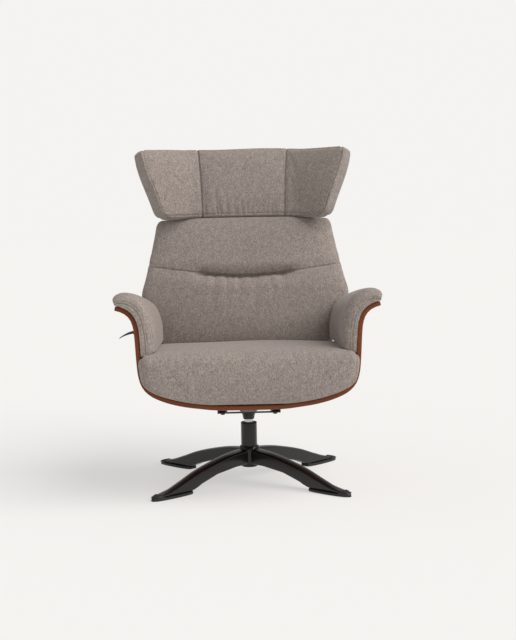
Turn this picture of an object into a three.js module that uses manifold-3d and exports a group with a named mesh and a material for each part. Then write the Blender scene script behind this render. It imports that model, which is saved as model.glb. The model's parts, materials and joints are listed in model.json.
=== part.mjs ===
// Star base swivel recliner: a bent plywood seat shell on a four-legged swivel base, with a back
// that reclines against a gas spring and a winged headrest that rises and tilts.
// Millimetres, +Z up. The sitter faces -Y, and the origin is on the floor under the middle of the
// chair, which lies a little behind the column.
import * as THREE from "three";
import { mergeVertices } from "three/addons/utils/BufferGeometryUtils.js";
import Module from "manifold-3d";

const wasm = await Module();
wasm.setup();

// Clearances that every fit uses
const fit = 0.3;
const softGap = 1;
const overrun = 12;

// Base
const columnSetback = 32.7;
const starReach = 410;
const starTurn = 45;
const legCount = 4;
const legRootWidth = 46;
const legTipWidth = 30;
const legRootTop = 101;
const legRootBottom = 53;
const legChamfer = 7;
const legTipSetback = 8;
const footHeight = 8;
const footLength = 152;
const footWidth = 44;
const footEdge = 2;
const footScrewSetback = 84;
const footScrewRadius = 2.2;
const footScrewHeadRadius = 5;
const footScrewHead = 2.5;
const footScrewLength = 16;
const footScrewRecess = 2;
const hubRadius = 34;
const hubFlat = 31;
const hubBottom = 52;
const hubTop = 108;
const hubChamfer = 4;
const hubFloor = 8;
const columnRadius = 25;
const columnWall = 3;
const bushHeight = 22;
const bushFlange = 2.4;
const bearingHeight = 8;
const capRadius = 26;
const capHeight = 10;
const capWall = 2;

// Swivel and tray under the seat
const spindleRadius = 14;
const spindleShow = 10;
const spindlePinRadius = 8;
const spindlePinDrop = 6;
const clipRadius = 15;
const clipThickness = 2.5;
const trayHeight = 42;
const traySheet = 3.5;
const trayWall = 3;
const trayMarginX = 16;
const trayMarginY = 20;
const trayBossRadius = 9;
const trayWindowInner = 20;
const trayWindowBossGap = 5;
const trayWindowConeGap = 11;
const trayRim = 16;
const trayBoltSpanX = 160;
const trayBoltSpanY = 200;
const coneTopRadius = 33;
const coneFootRadius = 17.5;
const coneHeight = 35.5;
const trayBoltRadius = 4;
const trayBoltHeadRadius = 7;
const trayBoltHead = 7;
const trayBoltStand = 7;

// Where the back hinges, and how deep it is
const hingeY = 235;
const backDepth = 100;

// Bent plywood shell
const shellThickness = 14;
const shellFloorHeight = 270;
const shellHalf = 384;
const shellRise = 295;
const shellBend = 102;
const armDrop = 38;
const shellFront = -335;
const shellFrontLean = 14;
const shellFloorRearGap = 30;
const shellSideRearGap = 85;
const shellSideRearLean = 25;
const shellArmCorner = 34;
const shellFloorEdge = 28;
const shellRows = 4;
const sectionSteps = 17;
const shellBoltShare = 0.5365;
const shellBoltSetback = 65;
const shellBoltRearSetback = 75;
const shellBoltRadius = 3;
const shellBoltHeadRadius = 7;
const shellBoltDomeShare = 0.6;
const shellBoltHead = 4.5;
const shellBoltLength = 40;

// Seat rails, deck and cushion
const railHalf = 16;
const railStand = 37.5;
const railHeight = 26;
const railFrontSetback = 50;
const railRearGap = 100;
const deckThickness = 12;
const deckOverhang = 14;
const deckFrontSetback = 43;
const deckRearGap = 4;
const seatFrontLap = 28;
const seatRearGap = 7;
const seatApron = 48;
const seatSideRise = 171;
const seatBedGap = 3;
const seatCrown = 8;
const seatRearDrop = 22;
const seatOverhang = 12;
const seatOverhangLowRise = 30;
const seatOverhangHighRise = 82;
const seatLip = 4;
const seatRadius = 34;
const seatSideGap = 2.5;

// Arm pads: widths inward from the shell's tips, heights from its tips or above the seat
const padFrontSetback = 4;
const padRearLap = 23;
const padRearLean = 0.22;
const padSeatGap = 5;
const padTipOverhang = 6;
const padTipRise = 32;
const padTipShare = 0.45;
const padCrestInset = 26;
const padCrestRise = 54;
const padShoulderInset = 79;
const padShoulderRise = 32;
const padInnerInset = 107;
const padInnerDrop = 25;
const padFootInset = 116;
const padFootShare = 0.5;
const padNose = 34;
const padNoseShare = 0.42;
const padTail = 30;
const padTailShare = 0.75;
const padCrownShare = 0.05;

// Recline hinge and back
const hingeRise = 57.5;
const backTilt = 14;
const hingePinRadius = 5;
const hingePinHeadRadius = 9;
const hingePinHead = 3.5;
const bracketLength = 289;
const bracketFootGap = 2;
const bracketThickness = 6;
const bracketLug = 18;
const bracketRise = 24;
const hingePlateThickness = 6;
const hingePlateLug = 16;
const hingePlateTop = 140;
const hingeFlange = 4;
const hingeFlangeWidth = 36;
const flangeLap = 4;
const boardThickness = 10;
const boardFace = -4;
const boardInset = 4.4;
const boardBottomGap = 2;
const boardTopGap = 29;
const backBottom = 24;
const backHeight = 431;
const backDip = 3.5;
const backScoop = 2;
const backInset = 44;
const backRadius = 24;
const seamHeight = 250;
const seamRise = 41;
const seamDepth = 16;
const seamHalf = 16;
const seamPullHeight = 90;
const coverRear = 38;
const coverRadius = 12;
const coverTopDrop = 3;
const coverRearDrop = 11;
const coverSideGap = 2;
const pocketRear = 12;
const pocketGap = 3.6;
const skirtDrop = 40;
const skirtFace = 26;
const skirtLap = 18;
const skirtThickness = 9;
const skirtTopLap = 24;
const crankRadius = 60;
const crankLead = 13;
const crankPinRadius = 4;
const crankCheek = 5;
const crankGap = 13;
const crankLug = 9;
const crankFlangeTop = 84;
const crankWayLap = 6;

// Gas spring
const gasBodyRadius = 14;
const gasBodyRearGap = 30;
const gasBodyLength = 150;
const gasStudRadius = 5;
const gasStudLength = 18;
const gasRodRadius = 5;
const gasRodInside = 95;
const gasStroke = 40;
const gasEyeRadius = 10;
const gasEyeWidth = 12;
const gasEyePlay = 1.4;
const gasBracketWidth = 34;
const gasBracketLength = 16;
const gasBracketHeight = 38;

// Headrest
const postRadius = 7;
const postX = 70;
const postFace = -14;
const postFoot = 30;
const guideWall = 2.5;
const guideLength = 94;
const guideTopGap = 2;
const crossbarRise = 35;
const crossbarRadius = 4;
const crossbarEnd = 16;
const lugRadius = 9;
const lugX = 35;
const lugWidth = 12;
const coreHalf = 130;
const coreThickness = 12;
const coreRise = 12;
const coreHeight = 146;
const headLap = 3;
const headHeight = 232;
const headCentreDepth = 62;
const headWingDepth = 60;
const headRearFace = -25;
const headCentreHalf = 140;
const headBendLength = 80;
const headWingAngle = 33;
const headWingDroop = 0.249;
const headTopInset = 26;
const headBottomInset = 97;
const headFootCurve = 32;
const headFootRound = 34;
const headRadius = 24;
const headSeamHalf = 152;
const headSeamFootHalf = 136;
const headSeamWidth = 12;
const headSeamDepth = 9;
const headPadMargin = 30;
const headPadInset = 3;
const headPadRear = 33;
const headPadRadius = 14;
const headPocketGap = 8;
const headPocketRear = 3;
const headPocketTopGap = 10;
const postRelief = 16;
const postReliefDepth = 20;

// Release lever
const leverY = -120;
const leverRise = 214;
const leverPlateHeight = 18;
const leverPlateLength = 74;
const leverPlateSheet = 3;
const leverPlateGap = 0.7;
const leverEar = 5;
const leverBarrel = 5;
const leverPinRadius = 2;
const leverStandoff = 6;
const leverBladeReach = 50;
const leverBladeDrop = 13;
const leverBladeSheet = 3.6;

// Counts of flat faces round a turned or curved piece
const turnedSides = 24;
const boltSides = 8;
const pinSides = 12;

const xAxis = new THREE.Vector3(1, 0, 0);
const yAxis = new THREE.Vector3(0, 1, 0);
const zAxis = new THREE.Vector3(0, 0, 1);
const { lerp, clamp, smoothstep, degToRad } = THREE.MathUtils;

const finishes = {
  blackMetal: { color: 0x1b1a1a, roughness: 0.38, metalness: 0.6 },
  steel: { color: 0xb9bbbd, roughness: 0.25, metalness: 1 },
  zinc: { color: 0x8f9294, roughness: 0.45, metalness: 0.9 },
  blackPlastic: { color: 0x222120, roughness: 0.55, metalness: 0 },
  veneer: { color: 0x84482a, roughness: 0.45, metalness: 0 },
  timber: { color: 0xb98f5f, roughness: 0.7, metalness: 0 },
  fabric: { color: 0x938982, roughness: 0.95, metalness: 0 },
};

// Solids: joining, cutting and facing outwards
function plainGeometry(geometry) {
  const plain = geometry.clone();
  for (const name of Object.keys(plain.attributes)) {
    if (name !== "position") plain.deleteAttribute(name);
  }
  return mergeVertices(plain);
}

function signedVolume(geometry) {
  const { position } = geometry.attributes;
  const corners = [new THREE.Vector3(), new THREE.Vector3(), new THREE.Vector3()];
  let volume = 0;
  for (let i = 0; i < geometry.index.count; i += corners.length) {
    corners.forEach((corner, k) => corner.fromBufferAttribute(position, geometry.index.getX(i + k)));
    volume += corners[0].dot(corners[1].cross(corners[2]));
  }
  return volume;
}

function facingOut(geometry) {
  const plain = plainGeometry(geometry);
  if (signedVolume(plain) < 0) {
    const indices = plain.index.array;
    for (let i = 0; i < indices.length; i += 3) {
      [indices[i + 1], indices[i + 2]] = [indices[i + 2], indices[i + 1]];
    }
  }
  plain.computeVertexNormals();
  return plain;
}

function toSolid(geometry) {
  const plain = plainGeometry(geometry);
  return new wasm.Manifold(new wasm.Mesh({
    numProp: 3,
    vertProperties: new Float32Array(plain.attributes.position.array),
    triVerts: new Uint32Array(plain.index.array),
  }));
}

function fromSolid(solid) {
  const mesh = solid.getMesh();
  const geometry = new THREE.BufferGeometry();
  geometry.setAttribute("position", new THREE.BufferAttribute(mesh.vertProperties, 3));
  geometry.setIndex(new THREE.BufferAttribute(mesh.triVerts, 1));
  geometry.computeVertexNormals();
  return geometry;
}

const cut = (geometry, ...tools) =>
  fromSolid(tools.reduce((solid, tool) => solid.subtract(toSolid(tool)), toSolid(geometry)));
const join = (geometry, ...others) =>
  fromSolid(others.reduce((solid, other) => solid.add(toSolid(other)), toSolid(geometry)));
const common = (geometry, other) => fromSolid(toSolid(geometry).intersect(toSolid(other)));

// Simple shapes, placed by the ranges that they fill
const inOrder = (a, b) => [Math.min(a, b), Math.max(a, b)];

function slab([x0, x1], [y0, y1], [z0, z1]) {
  return new THREE.BoxGeometry(x1 - x0, y1 - y0, z1 - z0)
    .translate((x0 + x1) / 2, (y0 + y1) / 2, (z0 + z1) / 2);
}

function rod(axis, radius, [from, to], sides = pinSides) {
  const geometry = new THREE.CylinderGeometry(radius, radius, to - from, sides)
    .translate(0, (from + to) / 2, 0);
  if (axis === zAxis) geometry.rotateX(Math.PI / 2);
  if (axis === xAxis) geometry.rotateZ(-Math.PI / 2);
  return geometry;
}

// A closed ring or spindle turned about Z from a profile of radius and height pairs
function turned(profile, sides = turnedSides) {
  const points = profile.map(([radius, height]) => new THREE.Vector2(radius, height));
  const onAxis = profile[0][0] === 0 && profile.at(-1)[0] === 0;
  if (!onAxis) points.push(points[0].clone());
  return facingOut(new THREE.LatheGeometry(points, sides).rotateX(Math.PI / 2));
}

const tube = (inner, outer, [from, to], sides) =>
  turned([[inner, from], [outer, from], [outer, to], [inner, to]], sides);

// An outline drawn in two axes and drawn out along the third
function alongX(shape, [from, to]) {
  const geometry = new THREE.ExtrudeGeometry(shape, { depth: to - from, bevelEnabled: false });
  geometry.applyMatrix4(new THREE.Matrix4().makeBasis(yAxis, zAxis, xAxis));
  return geometry.translate(from, 0, 0);
}

function alongY(shape, [from, to], steps = 1) {
  const geometry = new THREE.ExtrudeGeometry(shape, { depth: to - from, steps, bevelEnabled: false });
  return geometry.rotateX(Math.PI / 2).translate(0, to, 0);
}

// Sections joined in order, each a ring of as many points, with both ends closed
function loft(rings, flatten) {
  const count = rings[0].length;
  const indices = [];
  for (let i = 0; i + 1 < rings.length; i += 1) {
    for (let j = 0; j < count; j += 1) {
      const a = i * count + j;
      const b = i * count + ((j + 1) % count);
      indices.push(a, b, b + count, a, b + count, a + count);
    }
  }
  const last = (rings.length - 1) * count;
  const cap = (ring, offset, turn) => {
    const flat = ring.map(flatten);
    const sense = Math.sign(THREE.ShapeUtils.area(flat));
    for (const [a, b, c] of THREE.ShapeUtils.triangulateShape(flat, [])) {
      const same = Math.sign(THREE.ShapeUtils.area([flat[a], flat[b], flat[c]])) === sense;
      const [second, third] = same === turn ? [b, c] : [c, b];
      indices.push(offset + a, offset + second, offset + third);
    }
  };
  cap(rings[0], 0, false);
  cap(rings.at(-1), last, true);
  const geometry = new THREE.BufferGeometry().setFromPoints(rings.flat());
  geometry.setIndex(indices);
  return facingOut(geometry);
}

// A box whose faces carry grid lines at the given places, so that it can be shaped
function gridBox(xs, ys, zs) {
  const geometry = new THREE.BoxGeometry(1, 1, 1, xs.length - 1, ys.length - 1, zs.length - 1);
  const { position } = geometry.attributes;
  const place = (stops, share) => stops[Math.round((share + 0.5) * (stops.length - 1))];
  for (let i = 0; i < position.count; i += 1) {
    position.setXYZ(i, place(xs, position.getX(i)), place(ys, position.getY(i)), place(zs, position.getZ(i)));
  }
  return geometry;
}

// Evenly spaced places from one end to the other, both included
const evenly = (from, to, cells) =>
  Array.from({ length: cells + 1 }, (_, i) => lerp(from, to, i / cells));

// Places for grid lines, close together where the edges are rounded
const edgeShare = 0.42;
const roundedStops = (half, radius, cells) => [
  -half,
  -half + radius * edgeShare,
  ...evenly(radius - half, half - radius, cells),
  half - radius * edgeShare,
  half,
];

// A padded box: its edges are rounded, and then every point is moved by the given form
function padded(half, radius, [xs, ys, zs], form) {
  const geometry = gridBox(xs, ys, zs);
  const { position } = geometry.attributes;
  const point = new THREE.Vector3();
  const core = new THREE.Vector3();
  const inner = half.clone().subScalar(radius);
  for (let i = 0; i < position.count; i += 1) {
    point.fromBufferAttribute(position, i);
    core.copy(point).clamp(inner.clone().negate(), inner);
    point.sub(core).setLength(radius).add(core);
    form(point);
    position.setXYZ(i, point.x, point.y, point.z);
  }
  return facingOut(geometry);
}

// The value at a place in a table of [place, value] pairs
function inTable(pairs, place) {
  const next = pairs.findIndex(([at]) => at >= place);
  if (next === 0) return pairs[0][1];
  if (next < 0) return pairs.at(-1)[1];
  const [[fromAt, from], [toAt, to]] = [pairs[next - 1], pairs[next]];
  return lerp(from, to, (place - fromAt) / (toAt - fromAt));
}

// The chair is a group of named pieces
const chair = new THREE.Group();
chair.name = "star_base_swivel_recliner";

const turret = new THREE.Group();
turret.position.y = -columnSetback;
chair.add(turret);

function add(group, name, finish, geometry) {
  const mesh = new THREE.Mesh(geometry, new THREE.MeshStandardMaterial(finishes[finish]));
  mesh.name = name;
  group.add(mesh);
  return mesh;
}

// Star base: hub, four legs with their feet, column and swivel bearings
const columnInner = columnRadius - columnWall;
const hubInner = columnRadius + fit;
const columnBottom = hubBottom + hubFloor + fit;
const trayTop = shellFloorHeight - fit;
const trayFloorHeight = trayTop - trayHeight;
const spindleTop = trayFloorHeight - fit;
const columnTop = spindleTop - coneHeight - spindleShow - bushFlange - fit;

function makeHub() {
  const body = turned([
    [spindlePinRadius + fit, hubBottom],
    [hubRadius - hubChamfer, hubBottom],
    [hubRadius, hubBottom + hubChamfer],
    [hubRadius, hubTop - hubChamfer],
    [hubRadius - hubChamfer, hubTop],
    [hubInner, hubTop],
    [hubInner, hubBottom + hubFloor],
    [spindlePinRadius + fit, hubBottom + hubFloor],
  ]);
  const flats = Array.from({ length: legCount }, (_, quarter) =>
    slab([hubFlat, hubRadius + overrun], [-hubRadius, hubRadius], [hubBottom - overrun, hubTop + overrun])
      .rotateZ(degToRad(starTurn) + quarter * Math.PI / 2));
  add(turret, "base_hub", "blackMetal", cut(body, ...flats));
}

const legTopShares = [[0, 1], [0.18, 0.93], [0.36, 0.8], [0.55, 0.62], [0.72, 0.4], [0.87, 0.22], [1, 0.115]];
const legBottomShares = [[0, 1], [0.12, 0.99], [0.34, 0.8], [0.52, 0.43], [0.6, 0.157], [1, 0.157]];
const legStationShares = [0, 0.09, 0.18, 0.27, 0.36, 0.45, 0.52, 0.6, 0.72, 0.87, 1];

function makeLeg(name, angle) {
  const root = hubFlat + fit;
  const tip = starReach - legTipSetback;
  const seat = footHeight + fit;
  const rings = legStationShares.map((share) => {
    const x = lerp(root, tip, share);
    const top = legRootTop * inTable(legTopShares, share);
    const bottom = Math.max(seat, legRootBottom * inTable(legBottomShares, share));
    const half = lerp(legRootWidth, legTipWidth, share) / 2;
    const bevel = Math.min(legChamfer, (top - bottom) / 3);
    return [
      [-half, bottom], [half, bottom], [half, top - bevel],
      [half - bevel, top], [bevel - half, top], [-half, top - bevel],
    ].map(([y, z]) => new THREE.Vector3(x, y, z));
  });
  const body = loft(rings, ({ y, z }) => new THREE.Vector2(y, z));
  const screwTop = footScrewRecess + footScrewHead + footScrewLength;
  const hole = rod(zAxis, footScrewRadius + fit, [0, screwTop + fit], boltSides)
    .translate(starReach - footScrewSetback, 0, 0);
  add(turret, name, "blackMetal", cut(body, hole)).rotation.z = angle;
}

const footOutlineShares = [
  [0, 0.34], [0.04, 0.7], [0.14, 0.94], [0.32, 1], [0.6, 0.94], [0.84, 0.72], [0.95, 0.5], [1, 0.22],
];

function makeFoot(name, angle) {
  const side = footOutlineShares.map(([along, across]) =>
    new THREE.Vector2(starReach - footLength * (1 - along), footWidth / 2 * across));
  const outline = [...side, ...side.map(({ x, y }) => new THREE.Vector2(x, -y)).reverse()];
  const body = new THREE.ExtrudeGeometry(new THREE.Shape(outline), {
    depth: footHeight - footEdge * 2,
    bevelThickness: footEdge,
    bevelSize: footEdge,
    bevelOffset: -footEdge,
    bevelSegments: 1,
  }).translate(0, 0, footEdge);
  const screwX = starReach - footScrewSetback;
  const recessTop = footScrewRecess + footScrewHead + fit;
  const shank = rod(zAxis, footScrewRadius + fit, [-overrun, footHeight + overrun], boltSides)
    .translate(screwX, 0, 0);
  const recess = rod(zAxis, footScrewHeadRadius + fit, [-overrun, recessTop], boltSides)
    .translate(screwX, 0, 0);
  add(turret, name, "blackPlastic", cut(body, shank, recess)).rotation.z = angle;
}

function makeFootScrew(name, angle) {
  const headTop = footScrewRecess + footScrewHead;
  const screw = turned([
    [0, footScrewRecess],
    [footScrewHeadRadius, footScrewRecess],
    [footScrewHeadRadius, headTop],
    [footScrewRadius, headTop],
    [footScrewRadius, headTop + footScrewLength],
    [0, headTop + footScrewLength],
  ], boltSides).translate(starReach - footScrewSetback, 0, 0);
  add(turret, name, "zinc", screw).rotation.z = angle;
}

function makeColumn() {
  add(turret, "column_tube", "blackMetal", tube(columnInner, columnRadius, [columnBottom, columnTop]));
  add(turret, "thrust_bearing", "steel", tube(
    spindlePinRadius + fit, columnInner - fit, [columnBottom, columnBottom + bearingHeight]));
  add(turret, "guide_bush", "blackPlastic", turned([
    [spindleRadius + fit, columnTop - bushHeight],
    [columnInner - fit, columnTop - bushHeight],
    [columnInner - fit, columnTop + fit],
    [columnRadius, columnTop + fit],
    [columnRadius, columnTop + fit + bushFlange],
    [spindleRadius + fit, columnTop + fit + bushFlange],
  ]));
  const capTop = hubBottom - fit;
  add(turret, "hub_cap", "blackPlastic", turned([
    [0, capTop - capHeight],
    [capRadius, capTop - capHeight],
    [capRadius, capTop],
    [capRadius - capWall, capTop],
    [capRadius - capWall, capTop - capHeight + capWall],
    [0, capTop - capHeight + capWall],
  ]));
}

makeHub();
makeColumn();
const legNames = ["rear_right", "rear_left", "front_left", "front_right"];
legNames.forEach((corner, quarter) => {
  const angle = degToRad(starTurn) + quarter * Math.PI / 2;
  makeLeg(`star_leg_${corner}`, angle);
  makeFoot(`foot_${corner}`, angle);
  makeFootScrew(`foot_screw_${corner}`, angle);
});

// Swivel: spindle, its clip, the cone and the tray that carries the shell
function makeSwivel() {
  const shoulder = columnBottom + bearingHeight + fit;
  add(turret, "spindle", "steel", turned([
    [0, hubBottom - spindlePinDrop],
    [spindlePinRadius, hubBottom - spindlePinDrop],
    [spindlePinRadius, shoulder],
    [spindleRadius, shoulder],
    [spindleRadius, spindleTop],
    [0, spindleTop],
  ]));
  const clipTop = hubBottom - fit;
  add(turret, "spindle_clip", "zinc", tube(
    spindlePinRadius + fit, clipRadius, [clipTop - clipThickness, clipTop]));
  add(turret, "swivel_cone", "blackMetal", turned([
    [spindleRadius + fit, spindleTop - coneHeight],
    [coneFootRadius, spindleTop - coneHeight],
    [coneTopRadius, spindleTop - traySheet],
    [coneTopRadius, spindleTop],
    [spindleRadius + fit, spindleTop],
  ]));
}

const trayCorners = [-1, 1].flatMap((side) =>
  [-1, 1].map((end) => [side * trayBoltSpanX / 2, end * trayBoltSpanY / 2]));

function makeTray() {
  const halfX = trayBoltSpanX / 2 + trayMarginX;
  const halfY = trayBoltSpanY / 2 + trayMarginY;
  const windowOuter = trayBoltSpanX / 2 - trayBossRadius - trayWindowBossGap;
  const windowStart = coneTopRadius + trayWindowConeGap;
  const block = slab([-halfX, halfX], [-halfY, halfY], [trayFloorHeight, trayTop]);
  const hollow = slab(
    [trayWall - halfX, halfX - trayWall],
    [-halfY - overrun, halfY + overrun],
    [trayFloorHeight + traySheet, trayTop + overrun]);
  const windows = [-1, 1].flatMap((side) => [-1, 1].map((end) => slab(
    inOrder(side * trayWindowInner, side * windowOuter),
    inOrder(end * windowStart, end * (halfY - trayRim)),
    [trayFloorHeight - overrun, trayTop])));
  const bosses = trayCorners.map(([x, y]) =>
    rod(zAxis, trayBossRadius, [trayFloorHeight, trayTop], pinSides).translate(x, y, 0));
  const through = [trayFloorHeight - overrun, trayTop + overrun];
  const holes = trayCorners.map(([x, y]) =>
    rod(zAxis, trayBoltRadius + fit, through, boltSides).translate(x, y, 0));
  add(turret, "mechanism_tray", "blackMetal", cut(join(cut(block, hollow, ...windows), ...bosses), ...holes));
}

function makeTrayBolts() {
  trayCorners.forEach(([x, y], i) => {
    const under = trayFloorHeight - fit;
    const bolt = turned([
      [0, under - trayBoltHead],
      [trayBoltHeadRadius, under - trayBoltHead],
      [trayBoltHeadRadius, under],
      [trayBoltRadius, under],
      [trayBoltRadius, shellFloorHeight + shellThickness + trayBoltStand],
      [0, shellFloorHeight + shellThickness + trayBoltStand],
    ], boltSides).translate(x, y, 0);
    add(turret, `tray_bolt_${i + 1}`, "zinc", bolt);
  });
}

// Shell: one bent section, drawn along Y and trimmed to its side outline
const shellFloorRear = hingeY - shellFloorRearGap;
const shellSideRear = hingeY - shellSideRearGap;
const shellShares = [
  [0, 0], [0.24, 0.004], [0.375, 0.022], [0.5, 0.046], [0.625, 0.088], [0.735, 0.152], [0.8, 0.237],
  [0.83, 0.35], [0.842, 0.5], [0.851, 0.7], [0.86, 0.82], [0.881, 0.905], [0.915, 0.955],
  [0.96, 0.986], [1, 1],
];

function halfSection() {
  const places = shellShares.map(([across, up]) =>
    new THREE.Vector2(shellHalf * across, shellFloorHeight + shellRise * up));
  return new THREE.SplineCurve(places).getSpacedPoints(sectionSteps);
}

// The arms fall towards the rear: how far a height is lowered at a distance along the chair
function lowered(y, height) {
  const along = (y - shellFront) / (shellSideRear - shellFront);
  const high = Math.max(0, height - shellFloorHeight - shellBend) / (shellRise - shellBend);
  return height - armDrop * along * high;
}

function raised(y, height) {
  const along = (y - shellFront) / (shellSideRear - shellFront);
  const bend = shellFloorHeight + shellBend;
  return height < bend ? height : bend + (height - bend) / (1 - armDrop * along / (shellRise - shellBend));
}

function offsetLine(points, distance) {
  return points.map((point, i) => {
    const before = points[Math.max(i - 1, 0)];
    const after = points[Math.min(i + 1, points.length - 1)];
    const along = after.clone().sub(before).normalize();
    return new THREE.Vector2(point.x - along.y * distance, point.y + along.x * distance);
  });
}

const shellBoltX = shellHalf * shellBoltShare;
const shellOuter = halfSection();
const shellInner = offsetLine(shellOuter, shellThickness);
shellInner[0].x = 0;

// Half the width inside or outside the shell at a height, and the height at a distance from the middle
const halfWidthAt = (line, height) => inTable(line.map(({ x, y }) => [y, x]), height);
const heightAt = (line, x) => inTable(line.map((point) => [point.x, point.y]), x);

const railFront = shellFront + railFrontSetback;
const railRear = hingeY - railRearGap;
const railBottom = shellFloorHeight + railStand;
const shellBoltFront = railFront + shellBoltSetback;
const shellBoltRear = railRear - shellBoltRearSetback;
const shellBoltPlaces = [-1, 1].flatMap((side) =>
  [shellBoltFront, shellBoltRear].map((y) => [side * shellBoltX, y]));
const shellBoltSeat = heightAt(shellOuter, shellBoltX - shellBoltHeadRadius) - fit;

function makeShell() {
  const mirrored = (line) => line.slice(1).map(({ x, y }) => new THREE.Vector2(-x, y)).reverse();
  const outer = [...mirrored(shellOuter), ...shellOuter];
  const inner = [...mirrored(shellInner), ...shellInner].reverse();
  const section = alongY(new THREE.Shape([...outer, ...inner]), [shellFront, shellFloorRear], shellRows);
  const { position } = section.attributes;
  for (let i = 0; i < position.count; i += 1) {
    position.setZ(i, lowered(position.getY(i), position.getZ(i)));
  }
  const low = shellFloorHeight - overrun;
  const tip = shellFloorHeight + shellRise;
  const top = tip + shellThickness * 2;
  const frontTop = shellFront + shellFrontLean;
  const rearTop = shellSideRear + shellSideRearLean;
  const floorEdge = shellFloorHeight + shellFloorEdge;
  const side = new THREE.Shape();
  side.moveTo(shellFront, low);
  side.lineTo(shellFloorRear, low);
  side.lineTo(shellFloorRear, floorEdge);
  side.quadraticCurveTo(
    shellSideRear + shellArmCorner / 2, floorEdge, shellSideRear, floorEdge + shellArmCorner);
  side.lineTo(rearTop, lowered(rearTop, tip - shellArmCorner / 2));
  side.quadraticCurveTo(rearTop, lowered(rearTop, tip + shellThickness), rearTop - shellArmCorner, tip);
  side.lineTo(rearTop - shellArmCorner, top);
  side.lineTo(frontTop + shellArmCorner, top);
  side.lineTo(frontTop + shellArmCorner, tip + shellThickness);
  side.quadraticCurveTo(frontTop, tip + shellThickness, frontTop, tip - shellArmCorner);
  side.closePath();
  const trim = alongX(side, [-shellHalf - overrun, shellHalf + overrun]);
  const trayHoles = trayCorners.map(([x, y]) =>
    rod(zAxis, trayBoltRadius + fit, [low, railBottom], boltSides).translate(x, y, 0));
  const boltHoles = shellBoltPlaces.map(([x, y]) =>
    rod(zAxis, shellBoltRadius + fit, [low, railBottom], boltSides).translate(x, y, 0));
  add(turret, "bent_shell", "veneer", cut(common(section, trim), ...trayHoles, ...boltHoles));
}

function makeShellBolts() {
  shellBoltPlaces.forEach(([x, y], i) => {
    const bolt = turned([
      [0, shellBoltSeat - shellBoltHead],
      [shellBoltHeadRadius * shellBoltDomeShare, shellBoltSeat - shellBoltHead],
      [shellBoltHeadRadius, shellBoltSeat - shellBoltHead / 2],
      [shellBoltHeadRadius, shellBoltSeat],
      [shellBoltRadius, shellBoltSeat],
      [shellBoltRadius, shellBoltSeat + shellBoltLength],
      [0, shellBoltSeat + shellBoltLength],
    ], boltSides).translate(x, y, 0);
    add(turret, `shell_bolt_${i + 1}`, "zinc", bolt);
  });
}

// Seat rails on the shell's floor, and the deck on the rails
const railTop = railBottom + railHeight;
const seatFront = shellFront - seatFrontLap;
const seatRear = hingeY - backDepth - seatRearGap;
const seatSideHeight = shellFloorHeight + seatSideRise;

function makeRails() {
  for (const [side, name] of [[-1, "left"], [1, "right"]]) {
    const edges = inOrder(side * (shellBoltX - railHalf), side * (shellBoltX + railHalf));
    const body = slab(edges, [railFront, railRear], [railBottom, railTop]);
    const drilled = [railBottom - overrun, shellBoltSeat + shellBoltLength + fit];
    const holes = shellBoltPlaces.filter(([x]) => Math.sign(x) === side).map(([x, y]) =>
      rod(zAxis, shellBoltRadius + fit, drilled, boltSides).translate(x, y, 0));
    add(turret, `seat_rail_${name}`, "timber", cut(body, ...holes));
  }
}

function makeDeck() {
  const deckHalf = shellBoltX + railHalf + deckOverhang;
  const low = railTop + fit;
  add(turret, "seat_deck", "timber",
    slab([-deckHalf, deckHalf],
      [shellFront + deckFrontSetback, seatRear - deckRearGap], [low, low + deckThickness]));
}

// Seat cushion: crowned on top, rolled over at the front and shaped to the shell at its sides
function makeSeatCushion() {
  const top = seatSideHeight;
  const bottom = shellFloorHeight + shellThickness + seatBedGap;
  const half = new THREE.Vector3(
    halfWidthAt(shellInner, top) - seatSideGap, (seatRear - seatFront) / 2, (top - bottom) / 2);
  const middle = new THREE.Vector3(0, (seatRear + seatFront) / 2, (top + bottom) / 2);
  const lip = shellFront - softGap - middle.y;
  const grid = [
    roundedStops(half.x, seatRadius, 10),
    [
      -half.y,
      -half.y + seatRadius * edgeShare / 2,
      -half.y + seatRadius * edgeShare,
      lip,
      lip + seatLip,
      ...evenly(lip + seatRadius, half.y - seatRadius, 6),
      half.y - seatRadius * edgeShare,
      half.y,
    ],
    roundedStops(half.z, seatRadius, 3),
  ];
  const body = padded(half, seatRadius, grid, (point) => {
    const across = point.x / half.x;
    const up = (point.z / half.z + 1) / 2;
    const back = (point.y / half.y + 1) / 2;
    const beyond = point.y < lip + softGap / 2 ? 1 : 0;
    point.add(middle);
    const room = halfWidthAt(shellInner, point.z) - seatSideGap;
    const overhang = (seatOverhang + seatSideGap)
      * smoothstep(point.z - shellFloorHeight, seatOverhangLowRise, seatOverhangHighRise);
    point.x = across * (Math.min(room, half.x) + beyond * overhang);
    const arch = (1 - Math.abs(across) ** 2.6) * Math.sin(Math.PI * Math.min(back * 1.15 + 0.2, 1) * 0.5);
    point.z += smoothstep(up, 0.3, 1) * (seatCrown * arch - seatRearDrop * back * back);
  });
  const deckTop = railTop + fit + deckThickness;
  const under = slab(
    [-shellHalf, shellHalf], [seatFront + seatApron, seatRear + overrun], [0, deckTop + fit]);
  add(turret, "seat_cushion", "fabric", cut(body, under));
}

// Arm pads: a section between the shell's side and a roll over its lip, thin at the arm's ends
const padFront = shellFront + padFrontSetback;
const padRear = hingeY - backDepth + padRearLap;
const padBottom = seatSideHeight + padSeatGap;
const padRollSteps = 16;
const padMiddleCells = 4;
const padEndShares = [0, 0.04, 0.15, 0.34, 0.62, 1];

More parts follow.
